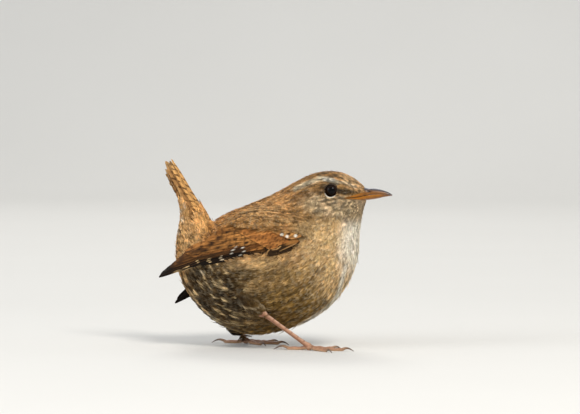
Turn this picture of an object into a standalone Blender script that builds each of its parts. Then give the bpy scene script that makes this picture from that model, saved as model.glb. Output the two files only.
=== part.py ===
"""Eurasian wren, standing, life size: the solids of the body, in metres, +Z up.

The bird faces +X and stands on z = 0.  Shapes are drawn on a side-view grid of
GRID units to the millimetre, seen from the bird's right and turned VIEW_TURN
towards its front, and grid() turns a point of that drawing into millimetres.
"""
import math

import bpy
import numpy as np
from mathutils import Vector
from mathutils.bvhtree import BVHTree

# ---------------------------------------------------------------- sizes (mm)
MM = 0.001
GRID = 3.1                      # drawing units per millimetre
GRID_X0, GRID_FLOOR = 277.4, 347.0
VIEW_TURN, VIEW_RISE = math.radians(10.0), math.radians(3.0)
GAP = 0.3                       # between neighbouring solids

SIDES = 30                      # points round a body section
EYE_RADIUS = 2.45
EYE_AT = (331.4, 190.6)         # on the drawing
EYE_OUT = 4.45                  # centre of the ball from the mid-plane
EYE_DIMPLE = (0.50, 2.7)        # how deep and how wide the feathers dip round it
TARSUS_RADIUS = 0.72
TOES = {                        # length, claw, angle from straight ahead, joints
    "inner": (8.0, 3.4, 27.0),
    "middle": (11.2, 3.9, -2.0),
    "outer": (8.6, 3.4, -30.0),
    "hind": (7.2, 5.0, 176.0),
}

# Sections of the body from the root of the bill to the tip of the tail:
# the dorsal and ventral point on the drawing, the half width in mm, where
# between them the width is greatest, how full the upper and lower halves are
# (2 is an ellipse, less is more pointed), and in mm how far the underside is
# hollowed, as under the roof of the folded tail.
SECTIONS = [
    ("bill_root",  (366.0, 188.8), (366.6, 199.6), 1.75, .52, 2.0, 2.0, 0.0),
    ("lores",      (360.0, 183.2), (364.8, 204.0), 2.65, .50, 2.0, 2.0, 0.0),
    ("forehead",   (351.0, 176.8), (363.0, 209.5), 4.0, .49, 2.0, 2.05, 0.0),
    ("crown",      (339.0, 172.2), (361.8, 215.0), 5.6, .49, 2.05, 2.1, 0.0),
    ("hind_crown", (325.0, 171.6), (360.6, 221.5), 7.0, .51, 2.05, 2.1, 0.0),
    ("nape",       (311.0, 174.6), (359.4, 230.0), 8.25, .54, 2.0, 2.1, 0.0),
    ("hind_neck",  (296.0, 181.6), (358.4, 241.0), 10.0, .57, 1.95, 2.1, 0.0),
    ("shoulder",   (279.0, 191.2), (357.4, 255.0), 12.5, .57, 1.95, 2.1, 0.0),
    ("mantle",     (260.5, 199.6), (353.0, 271.0), 15.0, .55, 1.95, 2.1, 0.0),
    ("back",       (243.0, 206.6), (343.6, 289.0), 16.5, .52, 1.95, 2.05, 0.0),
    ("lower_back", (229.0, 212.2), (328.0, 307.4), 17.1, .50, 1.95, 1.95, 0.0),
    ("rump_front", (219.0, 217.4), (306.0, 322.0), 16.9, .48, 1.9, 1.8, 0.0),
    ("rump",       (214.6, 220.6), (280.4, 331.0), 16.2, .46, 1.9, 1.72, 0.0),
    ("belly",      (213.2, 221.4), (252.0, 334.8), 14.9, .44, 1.9, 1.72, 0.0),
    ("vent",       (212.4, 220.6), (225.0, 327.0), 13.0, .42, 1.9, 1.8, 0.0),
    ("tail_root",  (211.6, 219.2), (203.6, 312.2), 10.8, .42, 1.9, 1.9, 0.0),
    ("under_tail", (210.6, 217.4), (186.6, 290.5), 8.6, .44, 2.0, 2.0, 0.0),
    ("coverts",    (209.2, 215.0), (177.2, 265.0), 6.9, .48, 2.0, 2.0, 0.0),
    ("tail_low",   (206.4, 211.4), (175.4, 240.5), 5.9, .54, 2.0, 2.0, 0.7),
    ("tail_quill", (201.2, 204.6), (176.8, 216.5), 5.4, .62, 2.0, 2.0, 2.3),
    ("tail_mid",   (191.6, 190.2), (175.6, 197.6), 5.4, .70, 2.0, 2.0, 3.0),
    ("tail_high",  (181.6, 173.6), (169.6, 179.4), 5.2, .72, 2.0, 2.0, 2.2),
    ("tail_tip",   (172.0, 159.2), (164.6, 163.2), 3.6, .60, 2.0, 2.0, 0.9),
]
NAMES = [s[0] for s in SECTIONS]
HEAD_END = 6.0                  # in sections, counted along the body
NECK_END = 7.35
TRUNK_END = 16.4

# A folded wing: lower and upper edge on the drawing from wrist to tip, how far
# its outer face stands from the mid-plane, and the droop of its tip.
WING_LOWER = [(314, 237.5), (306, 243.5), (296, 248.5), (281, 253.5), (262, 256.8), (240, 259),
              (218, 262.6), (198, 266.6), (181, 269.8), (167, 274), (158.6, 278)]
WING_UPPER = [(314, 233.5), (306, 228), (295, 223.5), (279, 219.5), (260, 217.5), (240, 219.5),
              (220, 226.5), (202, 237), (187, 250.5), (172, 265), (158.9, 276.6)]
WING_OUT = [13.6, 15.3, 16.6, 17.7, 18.3, 18.2, 17.2, 15.2, 12.7, 10.0, 7.6]
WING_THICK = [1.2, 1.7, 1.9, 1.9, 1.8, 1.7, 1.5, 1.3, 1.1, 0.9, 0.6]
LEFT_WING_DROOP = math.radians(10.5)
LEFT_WING_PIVOT = (14.0, 33.0)  # x, z of the shoulder


# ---------------------------------------------------------------- geometry
def grid(px, py, y=0.0):
    """A point of the drawing, y mm to the bird's left of the mid-plane."""
    s, c = math.sin(VIEW_TURN), math.cos(VIEW_TURN)
    se, ce = math.sin(VIEW_RISE), math.cos(VIEW_RISE)
    x = ((px - GRID_X0) / GRID - y * s) / c
    z = ((GRID_FLOOR - py) / GRID + x * s * se - y * c * se) / ce
    return np.array([x, y, z])


def smooth(values, t):
    """A Catmull-Rom curve through evenly numbered values, read at t."""
    v = np.asarray(values, float)
    n = len(v)
    if v.ndim == 1:
        v = v[:, None]
    t = np.clip(np.atleast_1d(np.asarray(t, float)), 0, n - 1 - 1e-9)
    i = np.floor(t).astype(int)
    f = (t - i)[:, None]
    first, last = 2 * v[0] - v[1], 2 * v[-1] - v[-2]
    pad = np.vstack([first, v, last])
    p0, p1, p2, p3 = pad[i], pad[i + 1], pad[i + 2], pad[i + 3]
    out = 0.5 * (2 * p1 + (p2 - p0) * f + (2 * p0 - 5 * p1 + 4 * p2 - p3) * f**2
                 + (3 * p1 - p0 - 3 * p2 + p3) * f**3)
    return out[:, 0] if out.shape[1] == 1 else out


TOP = np.array([grid(*s[1]) for s in SECTIONS])
BOTTOM = np.array([grid(*s[2]) for s in SECTIONS])
SHAPE = np.array([s[3:] for s in SECTIONS])


def ring(u, grow=0.0, sides=SIDES):
    """One closed section of the body, perpendicular to the mid-plane."""
    top, bottom = smooth(TOP, u)[0], smooth(BOTTOM, u)[0]
    width, middle, full_up, full_down, hollow = smooth(SHAPE, u)[0]
    up = top - bottom
    depth = np.linalg.norm(up)
    up = up / depth
    centre = top - up * depth * middle
    out = []
    for k in range(sides):
        a = 2 * math.pi * k / sides
        c, s = math.cos(a), math.sin(a)
        full = full_up if c > 0 else full_down
        radius = (depth * middle if c > 0 else depth * (1 - middle)) + grow
        rise = math.copysign(abs(c) ** (2 / full), c) * radius
        if c < 0:
            rise += hollow * c * c
        side = math.copysign(abs(s) ** (2 / full), s) * (width + grow)
        out.append(centre + up * rise + np.array([0, side, 0]))
    out = np.array(out)
    deep, wide = EYE_DIMPLE
    eye = grid(*EYE_AT, y=-EYE_OUT)
    away = np.hypot(out[:, 0] - eye[0], out[:, 2] - eye[2])
    out[:, 1] -= np.sign(out[:, 1]) * np.minimum(deep * np.exp(-(away / wide) ** 2), np.abs(out[:, 1]) * 0.5)
    return out


def new_object(name, points, faces, material=None, smooth_angle=math.radians(50)):
    mesh = bpy.data.meshes.new(name)
    mesh.from_pydata([tuple(p * MM) for p in np.asarray(points, float)], [], faces)
    mesh.validate()
    mesh.shade_smooth()
    mesh.set_sharp_from_angle(angle=smooth_angle)
    obj = bpy.data.objects.new(name, mesh)
    bpy.context.scene.collection.objects.link(obj)
    if material:
        mesh.materials.append(material)
    return obj


def loft(rings):
    """Points and faces of a closed loft through rings of equal size."""
    n = len(rings[0])
    points = np.concatenate(rings)
    faces = [list(range(n))[::-1]]
    for r in range(len(rings) - 1):
        for k in range(n):
            k2 = (k + 1) % n
            faces.append([r * n + k, r * n + k2, (r + 1) * n + k2, (r + 1) * n + k])
    faces.append([(len(rings) - 1) * n + k for k in range(n)])
    return points, faces


def facing_out(points, faces):
    """The same faces, turned round if they point inwards."""
    p = np.asarray(points, float)
    volume = 0.0
    for f in faces:
        for i in range(1, len(f) - 1):
            volume += np.dot(p[f[0]], np.cross(p[f[i]], p[f[i + 1]]))
    return faces if volume > 0 else [f[::-1] for f in faces]


def body_piece(name, start, end, steps, material, grow=0.0, sides=SIDES):
    rings = [ring(u, grow, sides) for u in np.linspace(start, end, steps)]
    points, faces = loft(rings)
    return new_object(name, points, facing_out(points, faces), material)


def tube(centres, radii, sides=10, squash=1.0, round_ends=True):
    """A closed tube along centres; squash flattens it from above."""
    centres = np.asarray(centres, float)
    radii = np.asarray(radii, float)
    rings = []
    side = None
    for i, c in enumerate(centres):
        a, b = centres[max(i - 1, 0)], centres[min(i + 1, len(centres) - 1)]
        d = (b - a) / np.linalg.norm(b - a)
        side = np.cross(d, [0, 0, 1.0]) if abs(d[2]) < 0.9 else np.cross(d, [0, 1.0, 0])
        side /= np.linalg.norm(side)
        up = np.cross(side, d)
        spin = 2 * np.pi * np.arange(sides) / sides
        rings.append(c + radii[i] * (np.cos(spin)[:, None] * side + squash * np.sin(spin)[:, None] * up))
    points, faces = loft(rings)
    if round_ends:
        d0 = centres[0] - centres[1]
        d1 = centres[-1] - centres[-2]
        n = len(points)
        points = np.vstack([points,
                            centres[0] + d0 / np.linalg.norm(d0) * radii[0] * 0.6,
                            centres[-1] + d1 / np.linalg.norm(d1) * radii[-1] * 0.6])
        start, end = faces[0], faces[-1]
        faces = faces[1:-1]
        faces += [[start[k], start[(k + 1) % sides], n] for k in range(sides)]
        faces += [[end[k], end[(k + 1) % sides], n + 1] for k in range(sides)]
    return points, facing_out(points, faces)


def ball(centre, radius, squash=(1, 1, 1), rings=12, sides=18):
    points = [np.array([0, 0, 1.0])]
    for i in range(1, rings):
        a = math.pi * i / rings
        for k in range(sides):
            b = 2 * math.pi * k / sides
            points.append(np.array([math.sin(a) * math.cos(b), math.sin(a) * math.sin(b), math.cos(a)]))
    points.append(np.array([0, 0, -1.0]))
    faces = [[0, 1 + k, 1 + (k + 1) % sides] for k in range(sides)]
    for i in range(rings - 2):
        for k in range(sides):
            k2 = (k + 1) % sides
            a, b = 1 + i * sides, 1 + (i + 1) * sides
            faces.append([a + k, b + k, b + k2, a + k2])
    last = len(points) - 1
    a = 1 + (rings - 2) * sides
    faces += [[a + k, last, a + (k + 1) % sides] for k in range(sides)]
    points = np.array(points) * np.asarray(squash) * radius + np.asarray(centre, float)
    return points, facing_out(points, faces)


def helper(obj):
    obj.hide_render = True
    obj.display_type = "WIRE"
    return obj


def boolean(obj, other, operation):
    m = obj.modifiers.new(operation.lower() + "_" + other.name, "BOOLEAN")
    m.operation = operation
    m.object = other
    m.solver = "EXACT"
    return m


def material(name, colour, roughness, metallic=0.0):
    m = bpy.data.materials.new(name)
    m.use_nodes = True
    bsdf = m.node_tree.nodes["Principled BSDF"]
    bsdf.inputs["Base Color"].default_value = (*colour, 1.0)
    bsdf.inputs["Roughness"].default_value = roughness
    bsdf.inputs["Metallic"].default_value = metallic
    m.diffuse_color = (*colour, 1.0)
    return m


# ---------------------------------------------------------------- the bird
for old in list(bpy.data.objects):
    bpy.data.objects.remove(old, do_unlink=True)

PLUMAGE = material("head_plumage", (0.36, 0.26, 0.16), 0.85)
BREAST = material("body_plumage", (0.52, 0.42, 0.28), 0.88)
RUFOUS = material("tail_plumage", (0.42, 0.22, 0.09), 0.8)
WINGS = material("wing_plumage", (0.30, 0.16, 0.07), 0.75)
LEG = material("leg_scales", (0.46, 0.27, 0.19), 0.5)
HORN = material("bill_horn", (0.22, 0.15, 0.11), 0.35)
HORN_PALE = material("bill_horn_pale", (0.60, 0.32, 0.11), 0.35)
EYE = material("eye_gloss", (0.015, 0.010, 0.008), 0.05)

SIDE = {"right": -1.0, "left": 1.0}
STEP = GAP * 0.5 / 6.0          # half a gap, in sections of about 6 mm

head = body_piece("head", 0.0, HEAD_END - 0.02, 13, PLUMAGE)
neck = body_piece("neck", HEAD_END + 0.055, NECK_END - 0.02, 7, PLUMAGE)
trunk = body_piece("trunk", NECK_END + 0.045, TRUNK_END - 0.02, 25, BREAST)
tail = body_piece("tail", TRUNK_END + 0.05, len(SECTIONS) - 1.0, 16, RUFOUS, sides=24)

# Eyes, each in a socket of the head.
for side, sign in SIDE.items():
    centre = grid(*EYE_AT, y=-EYE_OUT)
    centre = np.array([centre[0], sign * EYE_OUT, centre[2]])
    new_object("eye_" + side, *ball(centre, EYE_RADIUS, rings=9, sides=14), EYE)
    socket = helper(new_object("socket_" + side, *ball(centre, EYE_RADIUS + GAP, rings=9, sides=14)))
    boolean(head, socket, "DIFFERENCE")


def bill(name, upper):
    """A half of the bill: sections along it from the feathers to the tip."""
    culmen = [(367.9, 188.7), (371, 188.6), (375, 189.0), (379, 189.8), (383, 190.9), (387, 192.0), (390.2, 193.1), (391.4, 193.8)]
    cutting = [(367.9, 195.9), (371, 195.6), (375, 195.2), (379, 194.9), (383, 194.6), (387, 194.4), (390.2, 194.3), (391.4, 194.3)]
    gonys = [(367.9, 199.7), (371, 199.3), (375, 198.7), (379, 197.9), (383, 196.9), (387, 195.8), (389.8, 195.0), (390.9, 194.8)]
    half = [1.72, 1.55, 1.32, 1.1, 0.88, 0.64, 0.40, 0.30]
    rings, steps = [], 14
    for t in np.linspace(0, len(half) - 1, steps):
        a, b, g, w = smooth(culmen, t)[0], smooth(cutting, t)[0], smooth(gonys, t)[0], smooth(half, t)[0]
        near, far = (grid(*b), grid(*a)) if upper else (grid(*b), grid(*g))
        shift = GAP * (0.33 if upper else -0.33) * np.array([0, 0, 1.0])
        near = near + shift
        depth = max(abs(far[2] - near[2]), 0.22)
        out = []
        for k in range(13):
            angle = math.pi * k / 12
            rise = math.sin(angle) ** 0.9 * depth
            out.append(np.array([near[0], math.cos(angle) * w, near[2] + (rise if upper else -rise)]))
        rings.append(np.array(out))
    points, faces = loft(rings)
    return new_object(name, points, facing_out(points, faces), HORN if upper else HORN_PALE)


bill("bill_upper", True)
bill("bill_lower", False)


# Wings: shells that lie along the trunk and run free behind it.
def wing(side, sign):
    steps, across = 26, 7
    lower, upper = np.array(WING_LOWER, float), np.array(WING_UPPER, float)
    bodies = []
    for piece in ((HEAD_END + 0.055, TRUNK_END - 0.02), (TRUNK_END + 0.05, len(SECTIONS) - 1.0)):
        rings = [ring(u, 0.0, SIDES) for u in np.linspace(*piece, 34)]
        points, faces = loft(rings)
        bodies.append(BVHTree.FromPolygons([Vector(p) for p in points], faces))
    outer, inner = [], []
    turn = LEFT_WING_DROOP if sign > 0 else 0.0
    px, pz = LEFT_WING_PIVOT
    for t in np.linspace(0, len(WING_OUT) - 1, steps):
        lo, hi = smooth(lower, t)[0], smooth(upper, t)[0]
        out, thick = smooth(WING_OUT, t)[0], smooth(WING_THICK, t)[0]
        for k in range(across + 1):
            b = k / across
            bulge = 1 - (2 * b - 1) ** 2
            y = out - 1.7 * (1 - bulge) * min(1.0, thick) - 1.2 * b * min(1.0, t / 3)
            p = grid(*(lo * (1 - b) + hi * b), y=-y)
            p = np.array([p[0], sign * y, p[2]])
            if turn:                                   # the left wing hangs lower
                share = np.clip((px - p[0]) / 12.0, 0, 1)
                a = turn * share
                dx, dz = p[0] - px, p[2] - pz
                p[0] = px + dx * math.cos(a) - dz * math.sin(a)
                p[2] = pz + dx * math.sin(a) + dz * math.cos(a)
            edge = 0.35 + 0.65 * min(1.0, 3.2 * min(b, 1 - b) + (0.0 if 0 < k < across else 0.0))
            reach = 0.0
            for tree in bodies:
                hit = tree.ray_cast(Vector((p[0], sign * 60.0, p[2])), Vector((0, -sign, 0)))
                if hit[0] is not None:
                    reach = max(reach, sign * hit[0][1])
            inside = max(abs(p[1]) - thick * edge, reach + GAP * 1.6)
            outside = max(abs(p[1]), inside + 0.45 * edge + 0.3)
            outer.append(np.array([p[0], sign * outside, p[2]]))
            inner.append(np.array([p[0], sign * inside, p[2]]))
    n = across + 1
    points = np.array(outer + inner)
    faces, m = [], len(outer)
    for i in range(steps - 1):
        for k in range(across):
            a = i * n + k
            faces.append([a, a + 1, a + n + 1, a + n])
            faces.append([m + a, m + a + n, m + a + n + 1, m + a + 1])
    rim = [k for k in range(n)] + [i * n + across for i in range(1, steps)]
    rim += [(steps - 1) * n + k for k in range(across - 1, -1, -1)] + [i * n for i in range(steps - 2, 0, -1)]
    for i, a in enumerate(rim):
        b = rim[(i + 1) % len(rim)]
        faces.append([b, a, m + a, m + b])
    return new_object("wing_" + side, points, facing_out(points, faces), WINGS)


for side, sign in SIDE.items():
    wing(side, sign)

# Legs: feathered thigh, bare shank, four toes with their claws.
trunk_guard = helper(body_piece("trunk_guard", NECK_END - 0.3, TRUNK_END + 0.05, 27, None, grow=GAP))
tail_guard = helper(body_piece("tail_guard", TRUNK_END - 0.3, TRUNK_END + 2.0, 8, None, grow=GAP))
floor_cut = helper(new_object("floor_cut", *ball((0, 0, 0), 1.0)))
floor_mesh = bpy.data.meshes.new("floor_cut_box")
corners = [(x, y, z) for x in (-60, 60) for y in (-60, 60) for z in (-8, 0)]
floor_mesh.from_pydata([tuple(np.array(c) * MM) for c in corners], [],
                       [[0, 1, 3, 2], [4, 6, 7, 5], [0, 4, 5, 1], [2, 3, 7, 6], [0, 2, 6, 4], [1, 5, 7, 3]])
floor_cut.data = floor_mesh

LEGS = {
    # where the thigh starts, heel, hub of the toes, how much of the shank the
    # thigh feathers cover, thigh radii, heading of the foot in degrees
    "right": ((244.0, 290.0, 10.6), (261.5, 311.0, 11.6), (309.0, 344.9, 9.6), 0.06, (4.6, 3.7, 1.8), -5.0),
    "left": ((224.0, 286.0, 6.6), (217.0, 297.0, 7.2), (245.5, 344.0, 10.4), 0.70, (4.8, 4.2, 2.5), 9.0),
}


def leg(side, sign):
    top, heel, hub, cover, radii, heading = LEGS[side]
    top, heel, hub = (np.array([*grid(a, b, y=sign * c)]) for a, b, c in (top, heel, hub))
    hub[2] = 1.06
    along = hub - heel
    hem = heel + along * cover
    thigh_line = [top, 0.5 * top + 0.5 * (0.4 * heel + 0.6 * hem), hem] if cover > .2 else [top, 0.5 * (top + heel), hem]
    t = np.linspace(0, 2, 9)
    thigh = new_object("thigh_" + side, *tube(smooth(thigh_line, t), smooth(radii, t), sides=14),
                       BREAST if side == "right" else PLUMAGE)
    boolean(thigh, trunk_guard, "DIFFERENCE")

    # The shank starts a gap below the hem of the thigh feathers and ends a gap above the hub.
    unit = along / np.linalg.norm(along)
    start = hem + unit * (radii[2] * 0.6 + GAP)
    end = hub - unit * 1.2
    s = np.linspace(0, 1, 9)
    swell = 1.0 + 0.22 * np.exp(-(s / 0.12) ** 2) + 0.30 * np.exp(-((1 - s) / 0.14) ** 2)
    line = start + (end - start) * s[:, None]
    shank_points, shank_faces = tube(line, TARSUS_RADIUS * swell, sides=12, squash=1.12, round_ends=False)
    new_object("tarsus_" + side, shank_points, shank_faces, LEG)
    guard_line = start + (end - start) * np.linspace(-0.05, 1.0, 5)[:, None]
    guard_line[-1] = end + unit * GAP
    guard = helper(new_object("tarsus_guard_" + side,
                              *tube(guard_line, np.full(5, TARSUS_RADIUS * 1.4 + GAP), sides=12, squash=1.12, round_ends=False)))

    foot_points, foot_faces = ball(hub, 1.22, (1.0, 0.95, 0.95), rings=8, sides=12)
    foot = new_object("foot_" + side, foot_points, foot_faces, LEG)
    for name, (length, claw, angle) in TOES.items():
        turn = math.radians(heading * sign * -1 + angle * (-sign))
        ahead = np.array([math.cos(turn), math.sin(turn), 0.0])
        out = np.array([-math.sin(turn), math.cos(turn), 0.0])
        bow = (0.9 if name == "inner" else -0.9 if name == "outer" else 0.25) * -sign
        pts, rad = [], []
        for q in np.linspace(0, 1, 8):
            knuckle = 0.10 * math.cos(2 * math.pi * (q * 2.6))
            height = 0.40 + 0.66 * (1 - q) ** 2.4
            pts.append(hub * np.array([1, 1, 0]) + ahead * (0.2 + q * length) + out * bow * q * q
                       + np.array([0, 0, height]))
            rad.append((0.66 - 0.14 * q) * (1 + 0.6 * knuckle))
        toe = helper(new_object(f"toe_{name}_{side}", *tube(pts, rad, sides=8, squash=0.95)))
        boolean(foot, toe, "UNION")
        base = pts[-1]
        ahead_end = pts[-1] - pts[-2]
        ahead_end[2] = 0
        ahead_end /= np.linalg.norm(ahead_end)
        claw_pts, claw_rad = [], []
        for q in np.linspace(0, 1, 6):
            arch = 0.16 * claw * math.sin(math.pi * min(1.0, q * 1.05)) + 0.12 * (1 - q)
            claw_pts.append(base + ahead_end * (-0.45 + q * claw) + np.array([0, 0, arch - 0.30 * q]))
            claw_rad.append(0.42 * (1 - q) + 0.17 * q)
        nail = helper(new_object(f"claw_{name}_{side}", *tube(claw_pts, claw_rad, sides=6)))
        boolean(foot, nail, "UNION")
    boolean(foot, guard, "DIFFERENCE")
    boolean(foot, floor_cut, "DIFFERENCE")
    return foot


for side, sign in SIDE.items():
    leg(side, sign)
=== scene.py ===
"""Looks of the standing Eurasian wren: skin, plumage, bill, eyes, legs, studio.

All shapes are worked out in millimetres and written in metres.  A side-view
drawing of GRID units to the millimetre carries the outline, the markings and
the lie of the wing feathers; grid() turns a point of it into millimetres.
"""
import math

import bpy
import numpy as np
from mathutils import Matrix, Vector


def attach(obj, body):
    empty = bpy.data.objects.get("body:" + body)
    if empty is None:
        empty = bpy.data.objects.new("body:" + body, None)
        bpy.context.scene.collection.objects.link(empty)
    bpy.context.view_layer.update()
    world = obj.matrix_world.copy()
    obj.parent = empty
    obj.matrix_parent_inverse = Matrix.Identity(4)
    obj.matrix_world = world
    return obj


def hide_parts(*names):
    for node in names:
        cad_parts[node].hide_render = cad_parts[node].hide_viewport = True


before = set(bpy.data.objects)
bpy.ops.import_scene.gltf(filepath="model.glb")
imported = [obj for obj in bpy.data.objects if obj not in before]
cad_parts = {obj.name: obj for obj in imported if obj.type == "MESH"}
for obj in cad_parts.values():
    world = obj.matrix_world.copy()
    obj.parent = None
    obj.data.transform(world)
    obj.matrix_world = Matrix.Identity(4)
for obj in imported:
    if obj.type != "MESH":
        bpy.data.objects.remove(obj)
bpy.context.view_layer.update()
MM = 0.001
TAU = 2 * math.pi
rng = np.random.default_rng(11)

# ------------------------------------------------------------------ drawing
GRID = 3.1
GRID_X0, GRID_FLOOR = 277.4, 347.0
VIEW_TURN, VIEW_RISE = math.radians(10.0), math.radians(3.0)
SV, CV = math.sin(VIEW_TURN), math.cos(VIEW_TURN)
SR, CR = math.sin(VIEW_RISE), math.cos(VIEW_RISE)

EYE_RADIUS, EYE_AT, EYE_OUT = 2.45, (331.4, 190.6), 4.45
EYE_DIMPLE = (0.50, 2.7)

SECTIONS = [   # name, dorsal point, ventral point, half width, middle, fullness, hollow
    ("bill_root",  (366.0, 188.8), (366.6, 199.6), 1.75, .52, 2.0, 2.0, 0.0),
    ("lores",      (360.0, 183.2), (364.8, 204.0), 2.65, .50, 2.0, 2.0, 0.0),
    ("forehead",   (351.0, 176.8), (363.0, 209.5), 4.0, .49, 2.0, 2.05, 0.0),
    ("crown",      (339.0, 172.2), (361.8, 215.0), 5.6, .49, 2.05, 2.1, 0.0),
    ("hind_crown", (325.0, 171.6), (360.6, 221.5), 7.0, .51, 2.05, 2.1, 0.0),
    ("nape",       (311.0, 174.6), (359.4, 230.0), 8.25, .54, 2.0, 2.1, 0.0),
    ("hind_neck",  (296.0, 181.6), (358.4, 241.0), 10.0, .57, 1.95, 2.1, 0.0),
    ("shoulder",   (279.0, 191.2), (357.4, 255.0), 12.5, .57, 1.95, 2.1, 0.0),
    ("mantle",     (260.5, 199.6), (353.0, 271.0), 15.0, .55, 1.95, 2.1, 0.0),
    ("back",       (243.0, 206.6), (343.6, 289.0), 16.5, .52, 1.95, 2.05, 0.0),
    ("lower_back", (229.0, 212.2), (328.0, 307.4), 17.1, .50, 1.95, 1.95, 0.0),
    ("rump_front", (219.0, 217.4), (306.0, 322.0), 16.9, .48, 1.9, 1.8, 0.0),
    ("rump",       (214.6, 220.6), (280.4, 331.0), 16.2, .46, 1.9, 1.72, 0.0),
    ("belly",      (213.2, 221.4), (252.0, 334.8), 14.9, .44, 1.9, 1.72, 0.0),
    ("vent",       (212.4, 220.6), (225.0, 327.0), 13.0, .42, 1.9, 1.8, 0.0),
    ("tail_root",  (211.6, 219.2), (203.6, 312.2), 10.8, .42, 1.9, 1.9, 0.0),
    ("under_tail", (210.6, 217.4), (186.6, 290.5), 8.6, .44, 2.0, 2.0, 0.0),
    ("coverts",    (209.2, 215.0), (177.2, 265.0), 6.9, .48, 2.0, 2.0, 0.0),
    ("tail_low",   (206.4, 211.4), (175.4, 240.5), 5.9, .54, 2.0, 2.0, 0.7),
    ("tail_quill", (201.2, 204.6), (176.8, 216.5), 5.4, .62, 2.0, 2.0, 2.3),
    ("tail_mid",   (191.6, 190.2), (175.6, 197.6), 5.4, .70, 2.0, 2.0, 3.0),
    ("tail_high",  (181.6, 173.6), (169.6, 179.4), 5.2, .72, 2.0, 2.0, 2.2),
    ("tail_tip",   (172.0, 159.2), (164.6, 163.2), 3.6, .60, 2.0, 2.0, 0.9),
]
# Depth of the coat, skin to feather tips, in mm at each section.
COAT = [0.25, 0.35, 0.5, 0.75, 0.9, 1.0, 1.25, 1.5, 1.7, 1.9, 2.0, 2.1,
        2.2, 2.2, 2.2, 2.1, 2.0, 1.9, 1.6, 1.3, 1.2, 1.0, 0.8]


def grid(px, py, y=0.0):
    px, py, y = np.broadcast_arrays(np.asarray(px, float), np.asarray(py, float), np.asarray(y, float))
    x = ((px - GRID_X0) / GRID - y * SV) / CV
    z = ((GRID_FLOOR - py) / GRID + x * SV * SR - y * CV * SR) / CR
    return np.stack([x, y, z], -1)


def drawing(p):
    """Where a point falls on the drawing, taken to the right side of the bird."""
    x, y, z = p[..., 0], -np.abs(p[..., 1]), p[..., 2]
    return GRID_X0 + GRID * (x * CV + y * SV), GRID_FLOOR - GRID * (z * CR - x * SV * SR + y * CV * SR)


def smooth(values, t):
    v = np.asarray(values, float)
    n = len(v)
    one = v.ndim == 1
    if one:
        v = v[:, None]
    t = np.clip(np.atleast_1d(np.asarray(t, float)), 0, n - 1 - 1e-9)
    i = np.floor(t).astype(int)
    f = (t - i)[:, None]
    pad = np.vstack([2 * v[0] - v[1], v, 2 * v[-1] - v[-2]])
    p0, p1, p2, p3 = pad[i], pad[i + 1], pad[i + 2], pad[i + 3]
    out = 0.5 * (2 * p1 + (p2 - p0) * f + (2 * p0 - 5 * p1 + 4 * p2 - p3) * f**2
                 + (3 * p1 - p0 - 3 * p2 + p3) * f**3)
    return out[:, 0] if one else out


def unit(v):
    return v / np.maximum(np.linalg.norm(v, axis=-1, keepdims=True), 1e-12)


def step(lo, hi, x):
    t = np.clip((np.asarray(x, float) - lo) / (hi - lo), 0, 1)
    return t * t * (3 - 2 * t)


def mix(a, b, t):
    t = np.asarray(t, float)[..., None]
    return np.asarray(a, float) * (1 - t) + np.asarray(b, float) * t


_HASH = np.random.default_rng(5).random((32, 32, 32))


def noise(p, size):
    """Smooth value noise, 0 to 1, with blobs of about that size in mm."""
    q = np.asarray(p, float) / size + 1000.0
    i = np.floor(q).astype(int)
    f = q - i
    f = f * f * (3 - 2 * f)
    out = 0.0
    for dx in (0, 1):
        for dy in (0, 1):
            for dz in (0, 1):
                w = (f[..., 0] if dx else 1 - f[..., 0]) * (f[..., 1] if dy else 1 - f[..., 1]) * (f[..., 2] if dz else 1 - f[..., 2])
                out = out + w * _HASH[(i[..., 0] + dx) % 32, (i[..., 1] + dy) % 32, (i[..., 2] + dz) % 32]
    return out


# ------------------------------------------------------- the body's envelope
TOP = grid(*np.array([s[1] for s in SECTIONS]).T)
BOTTOM = grid(*np.array([s[2] for s in SECTIONS]).T)
SHAPE = np.array([s[3:] for s in SECTIONS])
LAST = len(SECTIONS) - 1.0
NU, NA = 1101, 384
EYE = grid(*EYE_AT, y=-EYE_OUT)


def envelope(us, ang):
    top, bottom, shape = smooth(TOP, us), smooth(BOTTOM, us), smooth(SHAPE, us)
    width, middle, full_up, full_down, hollow = (shape[:, k][:, None] for k in range(5))
    up = top - bottom
    depth = np.linalg.norm(up, axis=1)[:, None]
    up = up / depth
    centre = top - up * depth * middle
    c, s = np.cos(ang)[None, :], np.sin(ang)[None, :]
    full = np.where(c > 0, full_up, full_down)
    radius = np.where(c > 0, depth * middle, depth * (1 - middle))
    rise = np.sign(c) * np.abs(c) ** (2 / full) * radius + np.where(c < 0, hollow * c * c, 0)
    side = np.sign(s) * np.abs(s) ** (2 / full) * width
    p = centre[:, None, :] + up[:, None, :] * rise[..., None]
    p[..., 1] += side
    deep, wide = EYE_DIMPLE
    away = np.hypot(p[..., 0] - EYE[0], p[..., 2] - EYE[2])
    p[..., 1] -= np.sign(p[..., 1]) * np.minimum(deep * np.exp(-(away / wide) ** 2), np.abs(p[..., 1]) * 0.5)
    return p




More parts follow.
